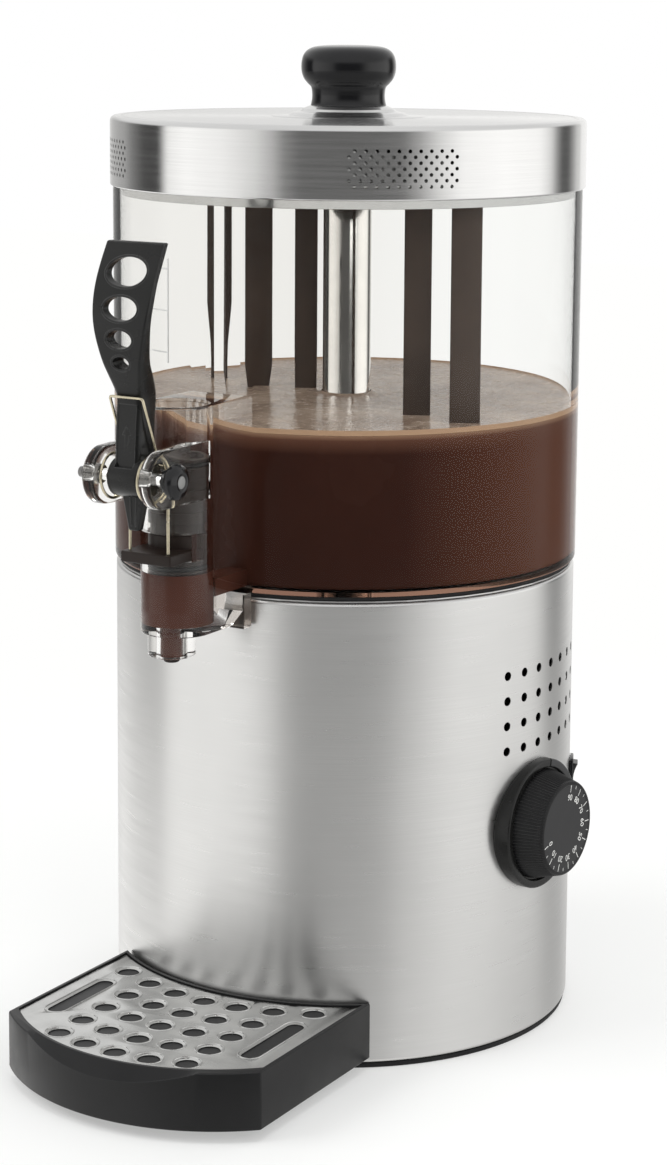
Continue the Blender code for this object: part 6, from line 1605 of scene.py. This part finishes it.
def buildKnob(d, matrix):
    low, high, base, face = d["knobLow"], d["knobHigh"], d["knobBase"], d["knobFace"]
    count = d["ribs"] * 4
    rings = []
    rows = ((low, base, 0.2), (low + 0.0010, base, 1.0), (high - 0.0022, face + 0.00035, 1.0),
        (high - 0.0012, face + 0.0001, 0.35), (high - 0.0005, face - 0.0003, 0.0),
        (high, face - 0.0012, 0.0),
            (high, face - 0.0022, 0.0), (high - 0.0004, face - 0.0026, 0.0), (high - 0.0004, 0.0, 0.0))
    for z, radius, share in rows[:-1]:
        ring = []
        for i in range(count):
            turn = fullTurn * i / count
            dip = d["ribDepth"] * share * (0.5 - 0.5 * math.cos(turn * d["ribs"])) * 2
            ring.append(((radius - dip) * math.cos(turn), (radius - dip) * math.sin(turn), z))
        rings.append(ring)
    knob = skinned("dialKnob", rings)
    carve(knob, peg("knobBore", d["bore"], low - 0.004, d["boreTop"], 32))
    tidy(knob)
    settle(knob, matrix)
    smooth(knob, 40)
    knob.data.materials.clear()
    finished(knob, [blackKnob, dialFace], "dial", ["dial_knob"])
    inverse = matrix.inverted()
    for piece in knob.data.polygons:
        spot = inverse @ piece.center
        if spot.z > high - 0.0006 and math.hypot(spot.x, spot.y) < face - 0.0020:
            piece.material_index = 1


def buildScale(d, matrix):  # raised ticks and plain numbers from 0 to 90, read against the clock
    top = d["knobHigh"] - 0.0004
    marks = []
    near, far, half = d["tick"]
    shortNear, shortFar, shortHalf = d["halfTick"]
    for i in range(19):
        turn = Matrix.Rotation(math.radians(-(d["scaleFrom"] + d["scaleStep"] * i / 2)), 4, "Z")
        a, b, h = (near, far, half / 2) if i % 2 == 0 else (shortNear, shortFar, shortHalf / 2)
        tick = block(f"tick{i}", (-h, a, top - 0.0001), (h, b, top + 0.00012))
        marks.append(settle(tick, turn))
    for i in range(10):
        turn = math.radians(d["scaleFrom"] + d["scaleStep"] * i)
        nothingPicked()
        bpy.ops.object.text_add()
        number = bpy.context.object
        number.data.body = str(i * 10)
        number.data.size = d["numberSize"]
        number.data.align_x, number.data.align_y = "CENTER", "CENTER"
        number.data.extrude = 0.00011
        number.data.resolution_u = 3
        bpy.ops.object.convert(target="MESH")
        number = named(bpy.context.object, f"number{i}")
        spot = Matrix.Translation((d["numberAt"] * math.sin(turn), d["numberAt"] * math.cos(turn),
            top + 0.00001)) @ Matrix.Rotation(-turn, 4, "Z")
        marks.append(settle(number, spot))
    scale = glue(*marks)
    settle(named(scale, "dialScale"), matrix)
    return finished(scale, markWhite, "dial")


bezelGrey = mouldedPlastic("bezelGrey", (0.040, 0.040, 0.042), 0.4, grain=2200, depth=0.00002,
    Specular_IOR_Level=0.3)
dialPlace = radialFrame(dial["angle"], dial["height"])
buildBezel(dial, dialPlace)
buildKnob(dial, dialPlace)
buildScale(dial, dialPlace)
print("dial made")

# power switch on the right side
switch = {
    "angle": 115.0, "height": 0.1400, "half": (0.0075, 0.01125), "flangeLow": 0.1403, "flangeTop": 0.1423,
    "body": (0.0063, 0.01005), "bodyLow": 0.1233, "pocket": (0.00525, 0.0091), "pocketLow": 0.1333,
    "rocker": 0.00475, "rockerHalf": 0.0082, "rise": 0.0038, "dip": 0.0016, "keel": 0.0045, "tilt": 8.0,
}


def buildSwitch(s):
    matrix = radialFrame(s["angle"], s["height"])
    w, h = s["half"]
    housing = block("switchHousing", (-w, -h, s["flangeLow"]), (w, h, s["flangeTop"]))
    softenEdges(housing, 0.0012, 4, lambda a, b: abs(a.z - b.z) > 0.001, 40)
    softenEdges(housing, 0.0007, 3, lambda a, b: min(a.z, b.z) > s["flangeTop"] - 0.0001, 40)
    bw, bh = s["body"]
    carve(housing, block("switchBody", (-bw, -bh, s["bodyLow"]), (bw, bh, s["flangeLow"] + 0.0008)),
        operation="UNION")
    pw, ph = s["pocket"]
    carve(housing, block("pocket", (-pw, -ph, s["pocketLow"]), (pw, ph, s["flangeTop"] + 0.004)))
    tidy(housing)
    settle(housing, matrix)
    smooth(housing, 32)
    finished(housing, blackGloss, "base", ["switch_housing"])
    reach = s["rockerHalf"]
    outline = [(-reach, 0)] + [(reach * (-1 + 2 * i / 16),
        s["rise"] - s["dip"] * (1 - (-1 + 2 * i / 16) ** 2)) for i in range(17)] + [(reach, 0),
        (0, -s["keel"])]
    rocker = slab("rocker", outline, -s["rocker"], s["rocker"], axis="X")
    softenEdges(rocker, 0.0005, 2, lambda a, b: min(a.z, b.z) > 0.0008, 40)
    # plain round and upright marks in the two ends, sunk in the face
    bar = block("onMark", (-0.0003, 0.0036, 0.0020), (0.0003, 0.0062, 0.0062))
    circle = turnedPiece("offMark", [(0.0010, 0.0015), (0.0015, 0.0015), (0.0015, 0.0060),
        (0.0010, 0.0060)], 28, Matrix.Translation((0, -0.0050, 0)))
    settle(bar, Matrix.Translation((0, 0, 0.0006)))
    settle(circle, Matrix.Translation((0, 0, 0.0012)))
    carve(rocker, bar, circle)
    tidy(rocker)
    settle(rocker,
        matrix @ Matrix.Translation((0, 0, s["flangeLow"])) @ Matrix.Rotation(math.radians(s["tilt"]), 4,
        "X"))
    smooth(rocker, 30)
    finished(rocker, blackGloss, "rocker", ["switch_rocker"])


buildSwitch(switch)

# cable gland at the rear
gland = {
    "angle": 180.0, "height": 0.0350, "floor": 0.1403, "bore": 0.0036, "neck": 0.0065, "radius": 0.0095,
    "length": 0.0120, "neckEnd": 0.1324, "slots": 8,
}


def buildGland(g):
    matrix = radialFrame(g["angle"], g["height"])
    end = g["floor"] + g["length"]
    body = turnedPiece("cableGland", rounded([
        (g["bore"], g["neckEnd"], 0), (g["neck"], g["neckEnd"], 0.0004), (g["neck"], g["floor"], 0),
        (g["radius"], g["floor"], 0.0005), (g["radius"], g["floor"] + g["length"] / 2, 0.0008),
        (g["neck"], end, 0.0010), (g["bore"], end, 0.0006)], 4), 72)
    tools = []
    for i in range(g["slots"]):
        turn = Matrix.Rotation(fullTurn * i / g["slots"], 4, "Z")
        tools.append(settle(block(f"slot{i}", (g["radius"] - 0.0007, -0.0012, g["floor"] + 0.0010),
            (g["radius"] + 0.001, 0.0012, g["floor"] + 0.0052)), turn))
    carve(body, *tools)
    tidy(body)
    settle(body, matrix)
    smooth(body, 34)
    finished(body, blackMatte, "base", ["cable_gland"])


buildGland(gland)
print("switch and gland made")

# the frame's own nodes that stay: each takes its finish
keptNodes = (
    (bathSteel, "water_bath"),
    (zincSteel,
    "bottom_plate base_screw_1 base_screw_2 base_screw_3 base_screw_4 column_nut motor_bracket"),
    (zincSteel, "grip_washer grip_screw gear_output_shaft drive_shaft shaft_coupler"),
    (castMetal, "gearbox drive_motor"),
    (paleCeramic, "thermostat_body terminal_block overheat_cutout"),
    (copperTube, "capillary_tube thermostat_bulb"),
    (brassWire, "dial_shaft"),
    (heaterSheath, "heater_ring"),
    (whitePlastic, "column_bush"),
    (blackMatte, "gland_nut"),
)
for look, nodeNames in keptNodes:
    for nodeName in nodeNames.split():
        for place in bpy.data.objects[nodeName].material_slots:
            place.material = look.material
shown = [o.name for o in bpy.data.objects if o.type == "MESH" and not o.hide_render and o.material_slots
    and o.material_slots[0].material]
print(f"{len(shown)} pieces with their finishes")
